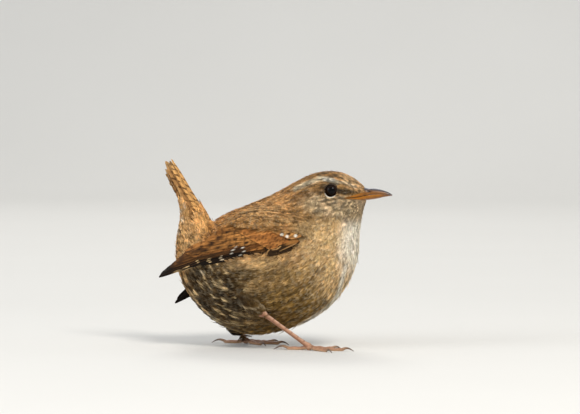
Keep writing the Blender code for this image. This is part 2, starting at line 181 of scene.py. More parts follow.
class Surface:
    """A closed tube of points P[u, a] with normals, slopes, coat depth and its place on the unwrap."""

    def __init__(self, points, last, rect, depth, ease=2):
        self.P, self.last, self.rect = points, float(last), rect
        self.nu, self.na = points.shape[:2]
        us = np.linspace(0, last, self.nu)
        self.DU = np.gradient(points, us, axis=0)
        self.DA = (np.roll(points, -1, 1) - np.roll(points, 1, 1)) / (2 * TAU / self.na)
        normal = unit(np.cross(self.DA, self.DU))
        if np.mean(np.sum(normal * (points - points.mean(1, keepdims=True)), -1)) < 0:
            normal = -normal
        for _ in range(ease):
            normal = unit(normal + 0.5 * (np.roll(normal, 1, 1) + np.roll(normal, -1, 1))
                          + 0.5 * (np.vstack([normal[:1], normal[:-1]]) + np.vstack([normal[1:], normal[-1:]])))
        self.N = normal
        self.area = np.linalg.norm(np.cross(self.DU, self.DA), axis=-1)
        self.depth = depth
        length = np.linalg.norm(np.diff(points, axis=0), axis=-1).mean(1)
        self.arc = np.concatenate([[0], np.cumsum(length)]) / length.sum()

    def cell(self, u, a):
        fu = np.clip(np.asarray(u, float) / self.last * (self.nu - 1), 0, self.nu - 1.001)
        i = fu.astype(int)
        fa = (np.asarray(a, float) % TAU) / TAU * self.na
        j = np.minimum(fa.astype(int), self.na - 1)
        return i, j, (j + 1) % self.na, fu - i, fa - j

    def look(self, table, u, a, cell=None):
        i, j, j1, f, g = cell if cell is not None else self.cell(u, a)
        if table.ndim == 3:
            f, g = f[..., None], g[..., None]
        return (table[i, j] * (1 - f) * (1 - g) + table[i + 1, j] * f * (1 - g)
                + table[i, j1] * (1 - f) * g + table[i + 1, j1] * f * g)

    def at(self, u, a, h=0.0):
        """Point a height h over the coat's outline; past either end it runs on straight."""
        cell = self.cell(u, a)
        p = self.look(self.P, u, a, cell)
        over = np.asarray(u, float) - np.clip(u, 0, self.last)
        if np.any(over):
            p = p + self.look(self.DU, u, a, cell) * over[..., None]
        return p + self.look(self.N, u, a, cell) * np.asarray(h)[..., None]

    def steps(self, u, a, phi):
        """Change of (u, a) for a millimetre along the lie phi and for one across it."""
        cell = self.cell(u, a)
        eu, ea = self.look(self.DU, u, a, cell), self.look(self.DA, u, a, cell)
        lu = np.maximum(np.linalg.norm(eu, axis=-1), 0.4)
        t1 = eu / lu[..., None]
        e2 = ea - np.sum(ea * t1, -1, keepdims=True) * t1
        l2 = np.maximum(np.linalg.norm(e2, axis=-1), 0.35)
        skew = np.sum(ea * t1, -1)
        out = []
        for along, across in ((np.cos(phi), np.sin(phi)), (-np.sin(phi), np.cos(phi))):
            da = across / l2
            out += [(along - skew * da) / lu, da]
        return out

    def unwrap(self, u, a):
        x0, y0, x1, y1 = self.rect
        v = np.interp(np.clip(u, 0, self.last), np.linspace(0, self.last, self.nu), self.arc)
        return np.stack([x0 + (x1 - x0) * ((np.asarray(a) % TAU) / TAU), y0 + (y1 - y0) * v], -1)


U_GRID = np.linspace(0, LAST, NU)
A_GRID = np.arange(NA) * TAU / NA
ENV = envelope(U_GRID, A_GRID)
_away = np.minimum(np.linalg.norm(ENV - EYE, axis=-1), np.linalg.norm(ENV - EYE * [1, -1, 1], axis=-1))
_disc = np.where(np.abs(ENV[..., 1]) > 2.5, np.hypot(ENV[..., 0] - EYE[0], ENV[..., 2] - EYE[2]), 9.0)
DEPTH = smooth(COAT, U_GRID)[:, None] * (0.72 + 0.28 * step(0.6, 1.6, np.minimum(A_GRID, TAU - A_GRID)))[None, :]
DEPTH = DEPTH * (0.42 + 0.58 * step(2.3, 5.0, _away))
# the outline of the coat is drawn in a little round the lids
ENV_LOW = 0.22 * np.exp(-((_disc - 2.3) / 0.9) ** 2)
BODY = Surface(ENV, LAST, (0.01, 0.01, 0.70, 0.99), DEPTH, ease=6)
BODY.P = ENV - BODY.N * ENV_LOW[..., None]


def on_body(px, py):
    """(u, a) of the right flank's place under a point of the drawing."""
    half = ENV[:, NA // 2 + 1:]
    qx, qy = drawing(half)
    out = []
    for x, y in zip(np.atleast_1d(px), np.atleast_1d(py)):
        k = np.argmin((qx - x) ** 2 + (qy - y) ** 2)
        i, j = divmod(k, half.shape[1])
        out.append((U_GRID[i], A_GRID[j + NA // 2 + 1]))
    return np.array(out)


# How far the trunk reaches sideways at each place of the side view.
REACH_STEP = 0.4
_rx0, _rz0 = -45.0, -5.0
REACH = np.zeros((230, 190))
_side = ENV[: int(20.5 / LAST * NU)]
_ix = ((_side[..., 0] - _rx0) / REACH_STEP).astype(int).ravel()
_iz = ((_side[..., 2] - _rz0) / REACH_STEP).astype(int).ravel()
np.maximum.at(REACH, (_ix, _iz), np.abs(_side[..., 1]).ravel())
for _ in range(3):
    pad = np.pad(REACH, 1)
    near = np.max([pad[1:-1, 1:-1], pad[:-2, 1:-1], pad[2:, 1:-1], pad[1:-1, :-2], pad[1:-1, 2:]], axis=0)
    REACH = np.where(REACH <= 0, near * 0.97, REACH)
for _ in range(3):
    pad = np.pad(REACH, 1, mode="edge")
    REACH = (pad[1:-1, 1:-1] * 2 + pad[:-2, 1:-1] + pad[2:, 1:-1] + pad[1:-1, :-2] + pad[1:-1, 2:]) / 6


def reach(x, z):
    i = np.clip((x - _rx0) / REACH_STEP - 0.5, 0, REACH.shape[0] - 1.01)
    j = np.clip((z - _rz0) / REACH_STEP - 0.5, 0, REACH.shape[1] - 1.01)
    i0, j0 = i.astype(int), j.astype(int)
    f, g = i - i0, j - j0
    return (REACH[i0, j0] * (1 - f) * (1 - g) + REACH[i0 + 1, j0] * f * (1 - g)
            + REACH[i0, j0 + 1] * (1 - f) * g + REACH[i0 + 1, j0 + 1] * f * g)


# ------------------------------------------------------------- mesh helpers
PIECES = {}


def make_mesh(name, points, tris, attrs=None, uv=None, materials=(), quads=None, smooth_shade=True):
    """A mesh object from arrays: points in mm, triangles, quads, point attributes and per-point UVs."""
    mesh = bpy.data.meshes.new(name)
    points = np.asarray(points, float) * MM
    tris = np.asarray(tris if tris is not None else np.zeros((0, 3)), int).reshape(-1, 3)
    quads = np.asarray(quads if quads is not None else np.zeros((0, 4)), int).reshape(-1, 4)
    loops = np.concatenate([tris.ravel(), quads.ravel()])
    mesh.vertices.add(len(points))
    mesh.vertices.foreach_set("co", points.astype(np.float32).ravel())
    mesh.loops.add(len(loops))
    mesh.loops.foreach_set("vertex_index", loops.astype(np.int32))
    starts = np.concatenate([np.arange(len(tris)) * 3, len(tris) * 3 + np.arange(len(quads)) * 4])
    mesh.polygons.add(len(starts))
    mesh.polygons.foreach_set("loop_start", starts.astype(np.int32))
    mesh.update(calc_edges=True)
    mesh.polygons.foreach_set("use_smooth", np.full(len(starts), smooth_shade))
    for key, value in (attrs or {}).items():
        value = np.asarray(value, np.float32)
        if value.ndim == 1:
            mesh.attributes.new(key, "FLOAT", "POINT").data.foreach_set("value", value)
        elif value.shape[1] == 3:
            mesh.attributes.new(key, "FLOAT_VECTOR", "POINT").data.foreach_set("vector", value.ravel())
        else:
            mesh.attributes.new(key, "FLOAT_COLOR", "POINT").data.foreach_set("color", value.ravel())
    if uv is not None:
        layer = mesh.uv_layers.new(name="OFBake")
        layer.data.foreach_set("uv", np.asarray(uv, np.float32)[loops].ravel())
    for m in materials:
        mesh.materials.append(m)
    obj = bpy.data.objects.new(name, mesh)
    bpy.context.scene.collection.objects.link(obj)
    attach(obj, "root")
    PIECES[name] = len(tris) + 2 * len(quads)
    return obj


def grid_faces(rows, cols, closed=False, start=0):
    r, c = np.meshgrid(np.arange(rows - 1), np.arange(cols if closed else cols - 1), indexing="ij")
    a = r * cols + c
    b = r * cols + (c + 1) % cols
    return np.stack([a, b, b + cols, a + cols], -1).reshape(-1, 4) + start


class Build:
    """Collects points, faces and attributes of one piece."""

    def __init__(self):
        self.p, self.t, self.q, self.at, self.uv, self.n = [], [], [], {}, [], 0

    def add(self, points, tris=None, quads=None, attrs=None, uv=None):
        points = np.asarray(points, float).reshape(-1, 3)
        self.p.append(points)
        if tris is not None and len(tris):
            self.t.append(np.asarray(tris).reshape(-1, 3) + self.n)
        if quads is not None and len(quads):
            self.q.append(np.asarray(quads).reshape(-1, 4) + self.n)
        for key, value in (attrs or {}).items():
            value = np.asarray(value, float)
            if value.shape[:1] != (len(points),):
                value = np.broadcast_to(value, (len(points),) + value.shape)
            self.at.setdefault(key, []).append(value)
        if uv is not None:
            self.uv.append(np.asarray(uv, float).reshape(-1, 2))
        self.n += len(points)

    def make(self, name, materials, slot):
        cat = lambda x, w: np.concatenate(x) if x else np.zeros((0, w), int)
        return make_mesh(name, np.concatenate(self.p), cat(self.t, 3),
                         {k: np.concatenate(v) for k, v in self.at.items()},
                         np.concatenate(self.uv) if self.uv else None, materials, cat(self.q, 4))


# ---------------------------------------------------------------- materials
def lin(rgb):
    c = np.asarray(rgb, float) / 255.0
    return np.where(c <= 0.04045, c / 12.92, ((c + 0.055) / 1.055) ** 2.4)


class Nodes:
    """Short hand for building a node material."""

    def __init__(self, name, roughness=0.7, **sockets):
        self.mat = bpy.data.materials.new(name)
        self.mat.use_nodes = True
        self.tree = self.mat.node_tree
        self.bsdf = self.tree.nodes["Principled BSDF"]
        self.bsdf.inputs["Roughness"].default_value = roughness
        for key, value in sockets.items():
            self.bsdf.inputs[key.replace("_", " ")].default_value = value

    def node(self, kind, **props):
        n = self.tree.nodes.new(kind)
        for key, value in props.items():
            setattr(n, key, value)
        return n

    def link(self, a, b):
        self.tree.links.new(a, b)

    def put(self, socket, value):
        if hasattr(value, "is_linked") or hasattr(value, "links"):
            self.link(value, socket)
        else:
            socket.default_value = value

    def math(self, op, a, b=None, c=None, clamp=False):
        n = self.node("ShaderNodeMath", operation=op, use_clamp=clamp)
        for k, v in enumerate((a, b, c)):
            if v is not None:
                self.put(n.inputs[k], v)
        return n.outputs[0]

    def ramp(self, x, lo, hi, a=0.0, b=1.0):
        n = self.node("ShaderNodeMapRange", interpolation_type="SMOOTHSTEP")
        for k, v in zip(("Value", "From Min", "From Max", "To Min", "To Max"), (x, lo, hi, a, b)):
            self.put(n.inputs[k], v)
        return n.outputs[0]

    def attr(self, name):
        return self.node("ShaderNodeAttribute", attribute_name=name)

    def split(self, vector):
        n = self.node("ShaderNodeSeparateXYZ")
        self.link(vector, n.inputs[0])
        return n.outputs

    def blend(self, a, b, t, mode="MIX"):
        n = self.node("ShaderNodeMix", data_type="RGBA", blend_type=mode)
        self.put(n.inputs["Factor"], t)
        for socket, v in ((n.inputs[6], a), (n.inputs[7], b)):
            self.put(socket, v if hasattr(v, "links") else (*v, 1.0))
        return n.outputs[2]

    def noise(self, scale, detail=2.0, vector=None, rough=0.5, distortion=0.0):
        n = self.node("ShaderNodeTexNoise")
        n.inputs["Scale"].default_value = scale
        n.inputs["Detail"].default_value = detail
        n.inputs["Roughness"].default_value = rough
        n.inputs["Distortion"].default_value = distortion
        if vector is None:
            if not hasattr(self, "_coord"):
                self._coord = self.node("ShaderNodeTexCoord").outputs["Object"]
            vector = self._coord
        self.link(vector, n.inputs["Vector"])
        return n.outputs["Fac"]

    def bump(self, height, strength=0.3, distance=0.0001):
        n = self.node("ShaderNodeBump")
        n.inputs["Strength"].default_value = strength
        n.inputs["Distance"].default_value = distance
        self.link(height, n.inputs["Height"])
        self.link(n.outputs[0], self.bsdf.inputs["Normal"])

    def colour(self, value):
        self.link(value, self.bsdf.inputs["Base Color"])

    def rough(self, value):
        self.link(value, self.bsdf.inputs["Roughness"])


def feather_material(name, dark, pale, barbs=26.0, vane=0.0, spread=0.24, duty=(0.05, 0.62), sheen=0.03, gloss=0.11, rough=(0.70, 0.90)):
    """Feather shader: Col is the ground colour; fa is along, across, chance; fb is bars, bars along it, pale tip."""
    m = Nodes(name, 0.75)
    m.bsdf.inputs["Specular IOR Level"].default_value = gloss
    m.bsdf.inputs["Sheen Weight"].default_value = sheen
    m.bsdf.inputs["Sheen Roughness"].default_value = 0.45
    col = m.attr("Col").outputs["Color"]
    x, y, chance = m.split(m.attr("fa").outputs["Vector"])
    bars, count, tip = m.split(m.attr("fb").outputs["Vector"])
    wide = m.math("ABSOLUTE", y)
    cloud = m.noise(520.0, 3.0)
    fine = m.noise(2300.0, 2.0)
    # bars across the feather, bent a little forward at the edges
    run = m.math("ADD", m.math("MULTIPLY", x, count), m.math("MULTIPLY", wide, -0.22))
    run = m.math("ADD", run, m.math("MULTIPLY_ADD", cloud, 0.55, m.math("MULTIPLY", chance, 0.35)))
    wave = m.math("SINE", m.math("MULTIPLY", run, TAU))
    broken = m.ramp(m.noise(760.0, 1.0), 0.38, 0.60, 0.25, 1.0)
    bar = m.math("MULTIPLY", m.math("MULTIPLY", m.ramp(wave, *duty), bars), broken)
    out = m.blend(col, dark, bar)
    end = m.math("MULTIPLY", m.ramp(x, 0.84, 0.95), tip)
    out = m.blend(out, pale, end)
    # barbs: fine slanting lines from the shaft to the edge
    line = m.math("SINE", m.math("MULTIPLY", m.math("ADD", m.math("MULTIPLY", x, 2.4), m.math("MULTIPLY", wide, -1.0)), barbs * TAU))
    shade = m.math("MULTIPLY_ADD", line, 0.055, 1.0)
    shade = m.math("MULTIPLY", shade, m.math("MULTIPLY_ADD", chance, spread, 1.0 - 0.5 * spread))
    shade = m.math("MULTIPLY", shade, m.ramp(cloud, 0.25, 0.75, 0.86, 1.12))
    shade = m.math("MULTIPLY", shade, m.ramp(fine, 0.25, 0.75, 0.92, 1.08))
    if vane:
        shaft = m.ramp(wide, 0.02, 0.07, 1.0, 0.0)
        out = m.blend(out, dark, m.math("MULTIPLY", shaft, vane))
    tint = m.node("ShaderNodeVectorMath", operation="SCALE")
    m.link(out, tint.inputs[0])
    m.link(shade, tint.inputs["Scale"])
    m.colour(tint.outputs[0])
    m.rough(m.ramp(fine, 0.2, 0.8, *rough))
    m.bump(m.math("MULTIPLY_ADD", line, 0.5, fine), 0.35, 0.00006)
    return m.mat


# Palette of the plumage, as seen in flat light.
PAINT = {key: lin(value) for key, value in {
    "crown": (174, 130, 80), "forehead": (226, 186, 136), "nape": (150, 114, 68), "mantle": (196, 147, 91),
    "back": (188, 138, 82), "rump": (176, 122, 66), "rufous": (188, 128, 68), "chestnut": (128, 80, 38),
    "cream": (226, 212, 182), "brow": (222, 206, 174), "cheek": (194, 168, 130), "throat": (176, 152, 116),
    "breast": (250, 241, 222), "buff": (210, 176, 124), "side": (194, 160, 110), "flank": (156, 124, 76),
    "belly": (142, 110, 56), "dusk": (84, 60, 28), "dark": (44, 30, 16), "black": (26, 18, 12),
    "grey": (150, 136, 112), "white": (240, 232, 214), "ash": (186, 174, 150),
}.items()}


def oval(px, py, cx, cy, rx, ry, turn=0.0, soft=0.5):
    """1 inside an oval of the drawing, falling to 0 outside; soft is the share of the radius it takes."""
    c, s = math.cos(math.radians(turn)), math.sin(math.radians(turn))
    dx, dy = px - cx, py - cy
    d = np.sqrt(((dx * c + dy * s) / rx) ** 2 + ((-dx * s + dy * c) / ry) ** 2)
    return 1 - step(1 - soft, 1 + soft, d)


def stroke(px, py, line, width, soft=0.6):
    """1 on a line of the drawing of that half width, falling to 0 beside it."""
    best = np.full(np.shape(px), 1e9)
    for (x0, y0), (x1, y1) in zip(line[:-1], line[1:]):
        dx, dy = x1 - x0, y1 - y0
        t = np.clip(((px - x0) * dx + (py - y0) * dy) / (dx * dx + dy * dy), 0, 1)
        best = np.minimum(best, np.hypot(px - x0 - t * dx, py - y0 - t * dy))
    return 1 - step(width * (1 - soft), width * (1 + soft), best)


def lengthwise(p, u, size):
    """Noise drawn out into streaks along the lie of the coat; size is their width in mm."""
    px, py = drawing(p)
    top = TOP_LINE(px)
    f = np.clip((py - top) / np.maximum(LOW_LINE(px) - top, 4.0), -0.4, 1.4)
    return noise(np.stack([u * 1.15 + 0 * f, f * 26, p[..., 1]], -1), size)


def plumage(p, u):
    """Ground colour, bar strength, pale tip and mottling of the coat at points on the body."""
    px, py = drawing(p)
    side = np.abs(p[..., 1])
    n2 = noise(p + 31, 5.0)
    n1 = lengthwise(p, u, 0.85)
    top = TOP_LINE(px)
    low = LOW_LINE(px)
    f = np.clip((py - top) / np.maximum(low - top, 4.0), 0, 1)        # 0 at the back, 1 at the belly
    col = mix(np.broadcast_to(PAINT["mantle"], p.shape), PAINT["back"], step(270, 235, px))
    col = mix(col, PAINT["rump"], step(236, 214, px))
    col = mix(col, PAINT["nape"], step(285, 312, px))
    # under parts
    col = mix(col, PAINT["side"], step(0.34, 0.56, f) * step(318, 270, px) )
    fore = step(286, 318, px) * step(214, 228, py + (px - 330) * 0.15)
    col = mix(col, PAINT["buff"], fore)
    col = mix(col, PAINT["flank"], step(250, 278, py) * step(332, 300, px))
    # darker belly: partly the bird's own dull brown underparts, partly painted shade of the underside
    col = mix(col, PAINT["belly"], step(284, 312, py + n2 * 8) * step(336, 318, px))
    col = mix(col, PAINT["breast"], oval(px, py, 354, 244, 14, 34, 6, 0.6))
    col = mix(col, PAINT["buff"], 0.65 * oval(px, py, 338, 284, 10, 22, 18, 0.6))
    # painted shade together with the bird's own dusky barring: the vent, the lower rear flank and the lower flank above
    # the legs are darkened
    col = mix(col, PAINT["dusk"] * 0.62, 0.94 * oval(px, py, 218, 302, 40, 26, 22, 0.5))
    col = mix(col, PAINT["dusk"], 0.6 * oval(px, py, 258, 314, 34, 14, 8, 0.6))
    # head
    head = step(292, 318, px) * step(232, 218, py)
    col = mix(col, PAINT["crown"], head * step(0.5, 0.2, (py - top) / 34))
    col = mix(col, PAINT["forehead"], oval(px, py, 352, 180, 12, 7, 30, 0.6))
    col = mix(col, PAINT["cheek"], oval(px, py, 328, 206, 24, 11, 8, 0.5))
    col = mix(col, PAINT["throat"], oval(px, py, 350, 210, 15, 11, 20, 0.5))
    col = mix(col, lin((116, 82, 48)), 0.65 * stroke(px, py, [(327, 190), (317, 190.5), (307, 193), (296, 198)], 3.6))
    col = mix(col, PAINT["dusk"], 0.90 * stroke(px, py, [(338, 191), (345, 192), (351, 192.6)], 2.6))
    brow = stroke(px, py, [(319, 178.4), (328, 179.4), (336, 182.6)], 2.4)
    brow = np.maximum(brow, 0.85 * stroke(px, py, [(322, 178.4), (314, 180.8), (306, 184.0), (295, 189)], 2.2))
    brow = np.maximum(brow, 0.6 * stroke(px, py, [(337, 182), (346, 183), (355, 187.4)], 1.3))
    col = mix(col, PAINT["brow"], brow)
    col = mix(col, PAINT["dusk"], 0.60 * brow * step(0.54, 0.68, n1))
    col = mix(col, PAINT["white"], 0.9 * stroke(px, py, [(324, 179.2), (333, 180.6)], 1.6))
    col = mix(col, PAINT["dark"], 0.85 * stroke(px, py, [(337.5, 191.5), (345, 192.6)], 2.3))
    col = mix(col, PAINT["dusk"], 0.45 * stroke(px, py, [(322.5, 193), (325, 198.5), (331, 200.6), (338.5, 198.4)], 0.9))
    col = mix(col, PAINT["dusk"], 0.40 * stroke(px, py, [(356, 183.5), (348, 179.4), (338, 176.6), (326, 174.0), (312, 177)], 1.6))
    for line in ([(343, 276), (334, 291)], [(306, 294), (296, 304)], [(327, 300), (312, 314)], [(318, 268), (309, 280)]):
        col = mix(col, PAINT["dusk"], 0.75 * stroke(px, py, line, 0.9))
    for line in ([(244, 283.5), (234, 285.5)], [(243, 288), (233, 290)], [(252, 277), (243, 279.5)], [(262, 292), (252, 296)],
                 [(228, 278), (219, 281)], [(215, 284), (206, 288)], [(224, 292), (214, 296)], [(238, 300), (228, 304)]):
        col = mix(col, PAINT["dark"], 0.65 * stroke(px, py, line, 1.3))
    edge_line = stroke(px, py, [(345, 266), (339, 292), (331, 304), (316, 316), (299, 326)], 2.1)
    col = mix(col, PAINT["white"], 0.9 * edge_line)
    col = mix(col, PAINT["cream"], 0.75 * stroke(px, py, [(184, 268), (193, 270), (203, 273)], 2.6))
    col = mix(col, PAINT["ash"], 0.7 * stroke(px, py, [(191, 298), (203, 311), (216, 320), (230, 331)], 1.8))
    col = mix(col, PAINT["side"], 0.45 * oval(px, py, 252, 264, 34, 5.5, -8, 0.6))
    # tail coverts
    col = mix(col, lin((248, 196, 130)), step(14.4, 16.2, u) * step(0.55, 0.2, side / 9.0 + 0.3 * f))
    col = mix(col, lin((230, 180, 116)), step(14.8, 16.6, u) * step(0.2, 0.55, side / 9.0 + 0.3 * f) * 0.85)
    col = mix(col, lin((244, 186, 112)), 0.7 * step(15.6, 16.8, u) * step(0.34, 0.10, f))
    for x, y in ((184.4, 206.4), (182, 220.5), (178.6, 232), (175.5, 245), (174.5, 254), (180, 213), (178, 226)):
        col = mix(col, PAINT["white"], 0.75 * oval(px, py, x, y, 1.9, 3.2, 10, 0.5) * step(0.35, 0.6, n1))
    bars = 0.12 + 0.22 * (1 - f) * step(300, 270, px)
    bars = bars + 0.15 * oval(px, py, 215, 292, 44, 44, 0, 0.5) + 0.35 * oval(px, py, 262, 300, 40, 26, 0, 0.6)
    bars = np.maximum(bars, (0.35 + 0.4 * step(0.2, 0.5, f)) * step(15.2, 16.6, u))
    bars = bars * (1 - 0.9 * fore) * (1 - 0.8 * head)
    tip = 0.15 + 0.2 * fore
    mottle = 0.5 * head + 0.75 * oval(px, py, 326, 206, 22, 12, 8, 0.5) + 0.8 * oval(px, py, 210, 296, 36, 40, 0, 0.5)
    mottle = np.clip(mottle * (1 - brow), 0, 1)
    hind = 0.95 * oval(px, py, 212, 294, 40, 40, 0, 0.5)
    wash = mix(col, PAINT["dusk"] * 0.42, hind * step(0.44, 0.54, n1))
    wash = mix(wash, lin((240, 208, 154)), 0.85 * hind * step(0.38, 0.30, n1))
    wash = mix(wash, PAINT["white"], 0.55 * edge_line * step(0.40, 0.60, n1))
    fine = lengthwise(p, u, 0.40)
    wash = mix(wash, PAINT["dusk"], mottle * (1 - hind) * 0.45 * step(0.55, 0.75, fine))
    wash = mix(wash, PAINT["ash"], mottle * (1 - hind) * 0.35 * step(0.45, 0.25, fine))
    return wash, np.clip(bars, 0, 1), np.clip(tip, 0, 1), mottle


_q = drawing(ENV)
_bins = np.arange(150, 372, 2.0)
_at = np.digitize(_q[0].ravel(), _bins)
_t = np.array([_q[1].ravel()[_at == k].min() if np.any(_at == k) else np.nan for k in range(1, len(_bins))])
_l = np.array([_q[1].ravel()[_at == k].max() if np.any(_at == k) else np.nan for k in range(1, len(_bins))])
_c = (_bins[:-1] + _bins[1:]) / 2
_ok = ~np.isnan(_t)


def TOP_LINE(px):
    return np.interp(px, _c[_ok], _t[_ok])


def LOW_LINE(px):
    return np.interp(px, _c[_ok], _l[_ok])


# ------------------------------------------------------- feather templates
class Template:
    def __init__(self, s, w, h, tris, chance, core=None):
        self.s, self.w, self.h = (np.asarray(v, float) for v in (s, w, h))
        self.tris = np.asarray(tris, int)
        self.chance = np.asarray(chance, float)
        self.core = np.zeros(len(self.s)) if core is None else np.asarray(core, float)


def outline(s, blunt=0.62):
    """Half width of a contour feather along its length, 1 at the widest."""
    s = np.clip(s, 0, 1)
    return np.where(s < blunt, 0.30 + 0.70 * np.sin(s / blunt * math.pi / 2) ** 1.2,
                    np.sqrt(np.maximum(0, 1 - ((s - blunt) / (1 - blunt)) ** 2)))


def loose_feather(r, barbs=16, segments=3, thick=0.085, ragged=0.10, reach_out=0.26, base=True, blunt=0.62, rooted=False):
    """Soft contour feather: separate barbs drawn as tapering ribbons over a small base vane."""
    S, W, H, C, core, T = [], [], [], [], [], []

    def ribbon(path_s, path_w, path_h, width, chance):
        n = len(path_s)
        ds, dw = np.gradient(path_s), np.gradient(path_w) * 0.33
        size = np.hypot(ds, dw) + 1e-9
        ns, nw = -dw / size, ds / size
        start = len(S)
        roll = r.normal(0, 0.05)
        for k in range(n):
            t = k / (n - 1)
            half = width * (1 - 0.55 * t) * (0.75 + 0.5 * t * (1 - t) * 4 * 0.5)
            if k == n - 1:
                S.append(path_s[k]); W.append(path_w[k]); H.append(path_h[k]); C.append(chance)
            else:
                for sign in (-1, 1):
                    S.append(path_s[k] + sign * ns[k] * half)
                    W.append(path_w[k] + sign * nw[k] * half / 0.33)
                    H.append(path_h[k] + sign * roll * 0.6)
                    C.append(chance)
        for k in range(n - 2):
            a = start + 2 * k
            T.extend([(a, a + 1, a + 3), (a, a + 3, a + 2)])
        a = start + 2 * (n - 2)
        T.append((a, a + 1, a + 2))

    if base:
        rows = np.linspace(0.02, 0.70, 5)
        for row in rows:
            for w in (-0.60, 0.0, 0.60):
                S.append(row)
                W.append(w * outline(row, blunt) * (1.0 if row < 0.7 else 0.8))
                H.append(-0.07 - 0.05 * abs(w))
                C.append(0.35)
        for i in range(4):
            for j in range(2):
                a = i * 3 + j
                T.extend([(a, a + 1, a + 4), (a, a + 4, a + 3)])
    t = np.linspace(0, 1, segments + 1)
    for sign in (-1, 1):
        clump = 0
        for k in range(barbs):
            if clump == 0:                               # barbs cling together in twos and threes
                clump = int(r.integers(2, 5))
                tone, far, rise, close = r.random(), r.uniform(1 - ragged, 1 + ragged * 0.6), r.normal(0.0, 0.07), k
            clump -= 1
            s0 = 0.06 + 0.86 * (k + r.uniform(0.1, 0.9)) / barbs
            pull = 0.35 * (close - k) / barbs
            s1 = min(s0 + pull + reach_out * (1 - 0.62 * s0) * far * r.uniform(0.92, 1.08), 1.04)
            if rooted:                                   # every barb starts at the root
                s0, s1 = 0.02 + 0.10 * r.random(), r.uniform(0.66, 1.02)
            w1 = sign * outline(min(s1, 0.985), blunt) * (0.35 + 0.65 * far) * r.uniform(0.9, 1.05)
            path_s = s0 + (s1 - s0) * t ** 1.15 + r.normal(0, 0.006)
            path_w = w1 * (1 - (1 - t) ** 1.7)
            path_h = 0.02 - 0.10 * (np.abs(path_w)) ** 2 + (rise + r.normal(0, 0.015)) * t
            ribbon(path_s, path_w, path_h, thick * r.uniform(0.75, 1.2), np.clip(0.75 * tone + 0.25 * r.random(), 0, 1))
    for k in range(5):
        w1 = r.uniform(-0.25, 0.25)
        path_s = 0.06 + r.uniform(0.75, 0.96) * t if rooted else 0.76 + (r.uniform(0.18, 0.30)) * t
        ribbon(path_s, w1 * t, 0.03 + r.normal(0, 0.05) * t, thick * 0.9, r.random())
    return Template(S, W, H, T, C)


def hair_feather(r, barbs=12, segments=4, thick=0.016, rooted=False):
    """A few long fine barbs only, for the loose fringe over the coat."""
    tpl = loose_feather(r, barbs // 2, segments, thick=thick, ragged=0.3, reach_out=0.62, base=False, blunt=0.7, rooted=rooted)
    tpl.h = tpl.h + 0.08 * tpl.s
    return tpl


def compact_feather(r, rows=9, notch=0.10, blunt=0.70, cup=0.16):
    """Firm contour feather: one cupped vane with a slightly split margin."""
    cols = np.array([-1, -0.62, -0.22, 0.22, 0.62, 1])
    s_rows = np.concatenate([np.linspace(0.0, 0.80, rows - 3), [0.90, 0.965, 1.0]])
    S, W, H, C = [], [], [], []
    for i, s in enumerate(s_rows):
        cut = 1 - (r.uniform(0, notch, 2) if 0.15 < s < 0.97 else np.zeros(2))
        size = max(outline(s, blunt), 0.16 if s < 1 else 0.20)
        for j, w in enumerate(cols):
            edge = cut[0] if j == 0 else cut[1] if j == 5 else 1
            S.append(s - 0.06 * abs(w) ** 2 * (s > 0.9) + (r.normal(0, 0.012) if s > 0.85 else 0))
            W.append(w * size * edge)
            H.append(-cup * w * w + 0.05 * math.exp(-(w / 0.3) ** 2) - 0.10 * max(0, s - 0.9) * 4)
            C.append(0.5 + 0.25 * r.normal() * (abs(w) > 0.5))
    quads = grid_faces(len(s_rows), 6)
    T = np.concatenate([quads[:, [0, 1, 2]], quads[:, [0, 2, 3]]])
    return Template(S, W, H, T, np.clip(C, 0, 1))


TR = np.random.default_rng(3)
LOOSE = [loose_feather(TR, 22, 3, thick=0.0165, ragged=0.42, reach_out=0.66) for _ in range(12)]
FIRM = [loose_feather(TR, 20, 2, thick=0.022, ragged=0.26, reach_out=0.50, blunt=0.66) for _ in range(10)]
LOOSE_SMALL = [loose_feather(TR, 15, 2, thick=0.022, ragged=0.40, reach_out=0.66) for _ in range(10)]
TINY = [loose_feather(TR, 10, 2, thick=0.030, ragged=0.34, reach_out=0.66) for _ in range(8)]
HAIR = [hair_feather(TR) for _ in range(5)]
WISP = [hair_feather(np.random.default_rng(60 + k), 4, 6, 0.011, True) for k in range(5)]
COMPACT = [compact_feather(TR) for _ in range(6)]


def place(surface, template, u, a, phi, length, half, sink=0.85, lift=0.0, curl=0.0, steps=7, puff=1.0):
    """Points of one template on many roots, bent to follow the surface from root to tip."""
    n = len(u)
    cu, ca = [np.array(u, float)], [np.array(a, float)]
    wu, wa = [], []
    ds = length / (steps - 1)
    for k in range(steps):
        su, sa, xu, xa = surface.steps(cu[-1], ca[-1], phi + curl * k / steps)
        wu.append(xu)
        wa.append(xa)
        if k < steps - 1:
            cu.append(cu[-1] + su * ds)
            ca.append(ca[-1] + sa * ds)
    cu, ca, wu, wa = (np.array(v).T for v in (cu, ca, wu, wa))
    fs = np.clip(template.s, 0, 1.0) * (steps - 1)
    i = np.minimum(fs.astype(int), steps - 2)
    f = (template.s * (steps - 1) - i)[None, :]
    bend = lambda v: v[:, i] * (1 - f) + v[:, i + 1] * f
    across = template.w[None, :] * half[:, None]
    uu = bend(cu) + bend(wu) * across
    aa = bend(ca) + bend(wa) * across
    cell = surface.cell(uu, aa)
    depth = surface.look(surface.depth, uu, aa, cell)
    s = template.s[None, :]
    fall = sink * np.clip(1 - s, 0, 1) ** 1.25
    h = -depth * fall + template.h[None, :] * puff * half[:, None] * 0.55 + np.reshape(lift, (-1, 1)) * s ** 2 - 0.02
    return surface.at(uu, aa, h), uu, aa


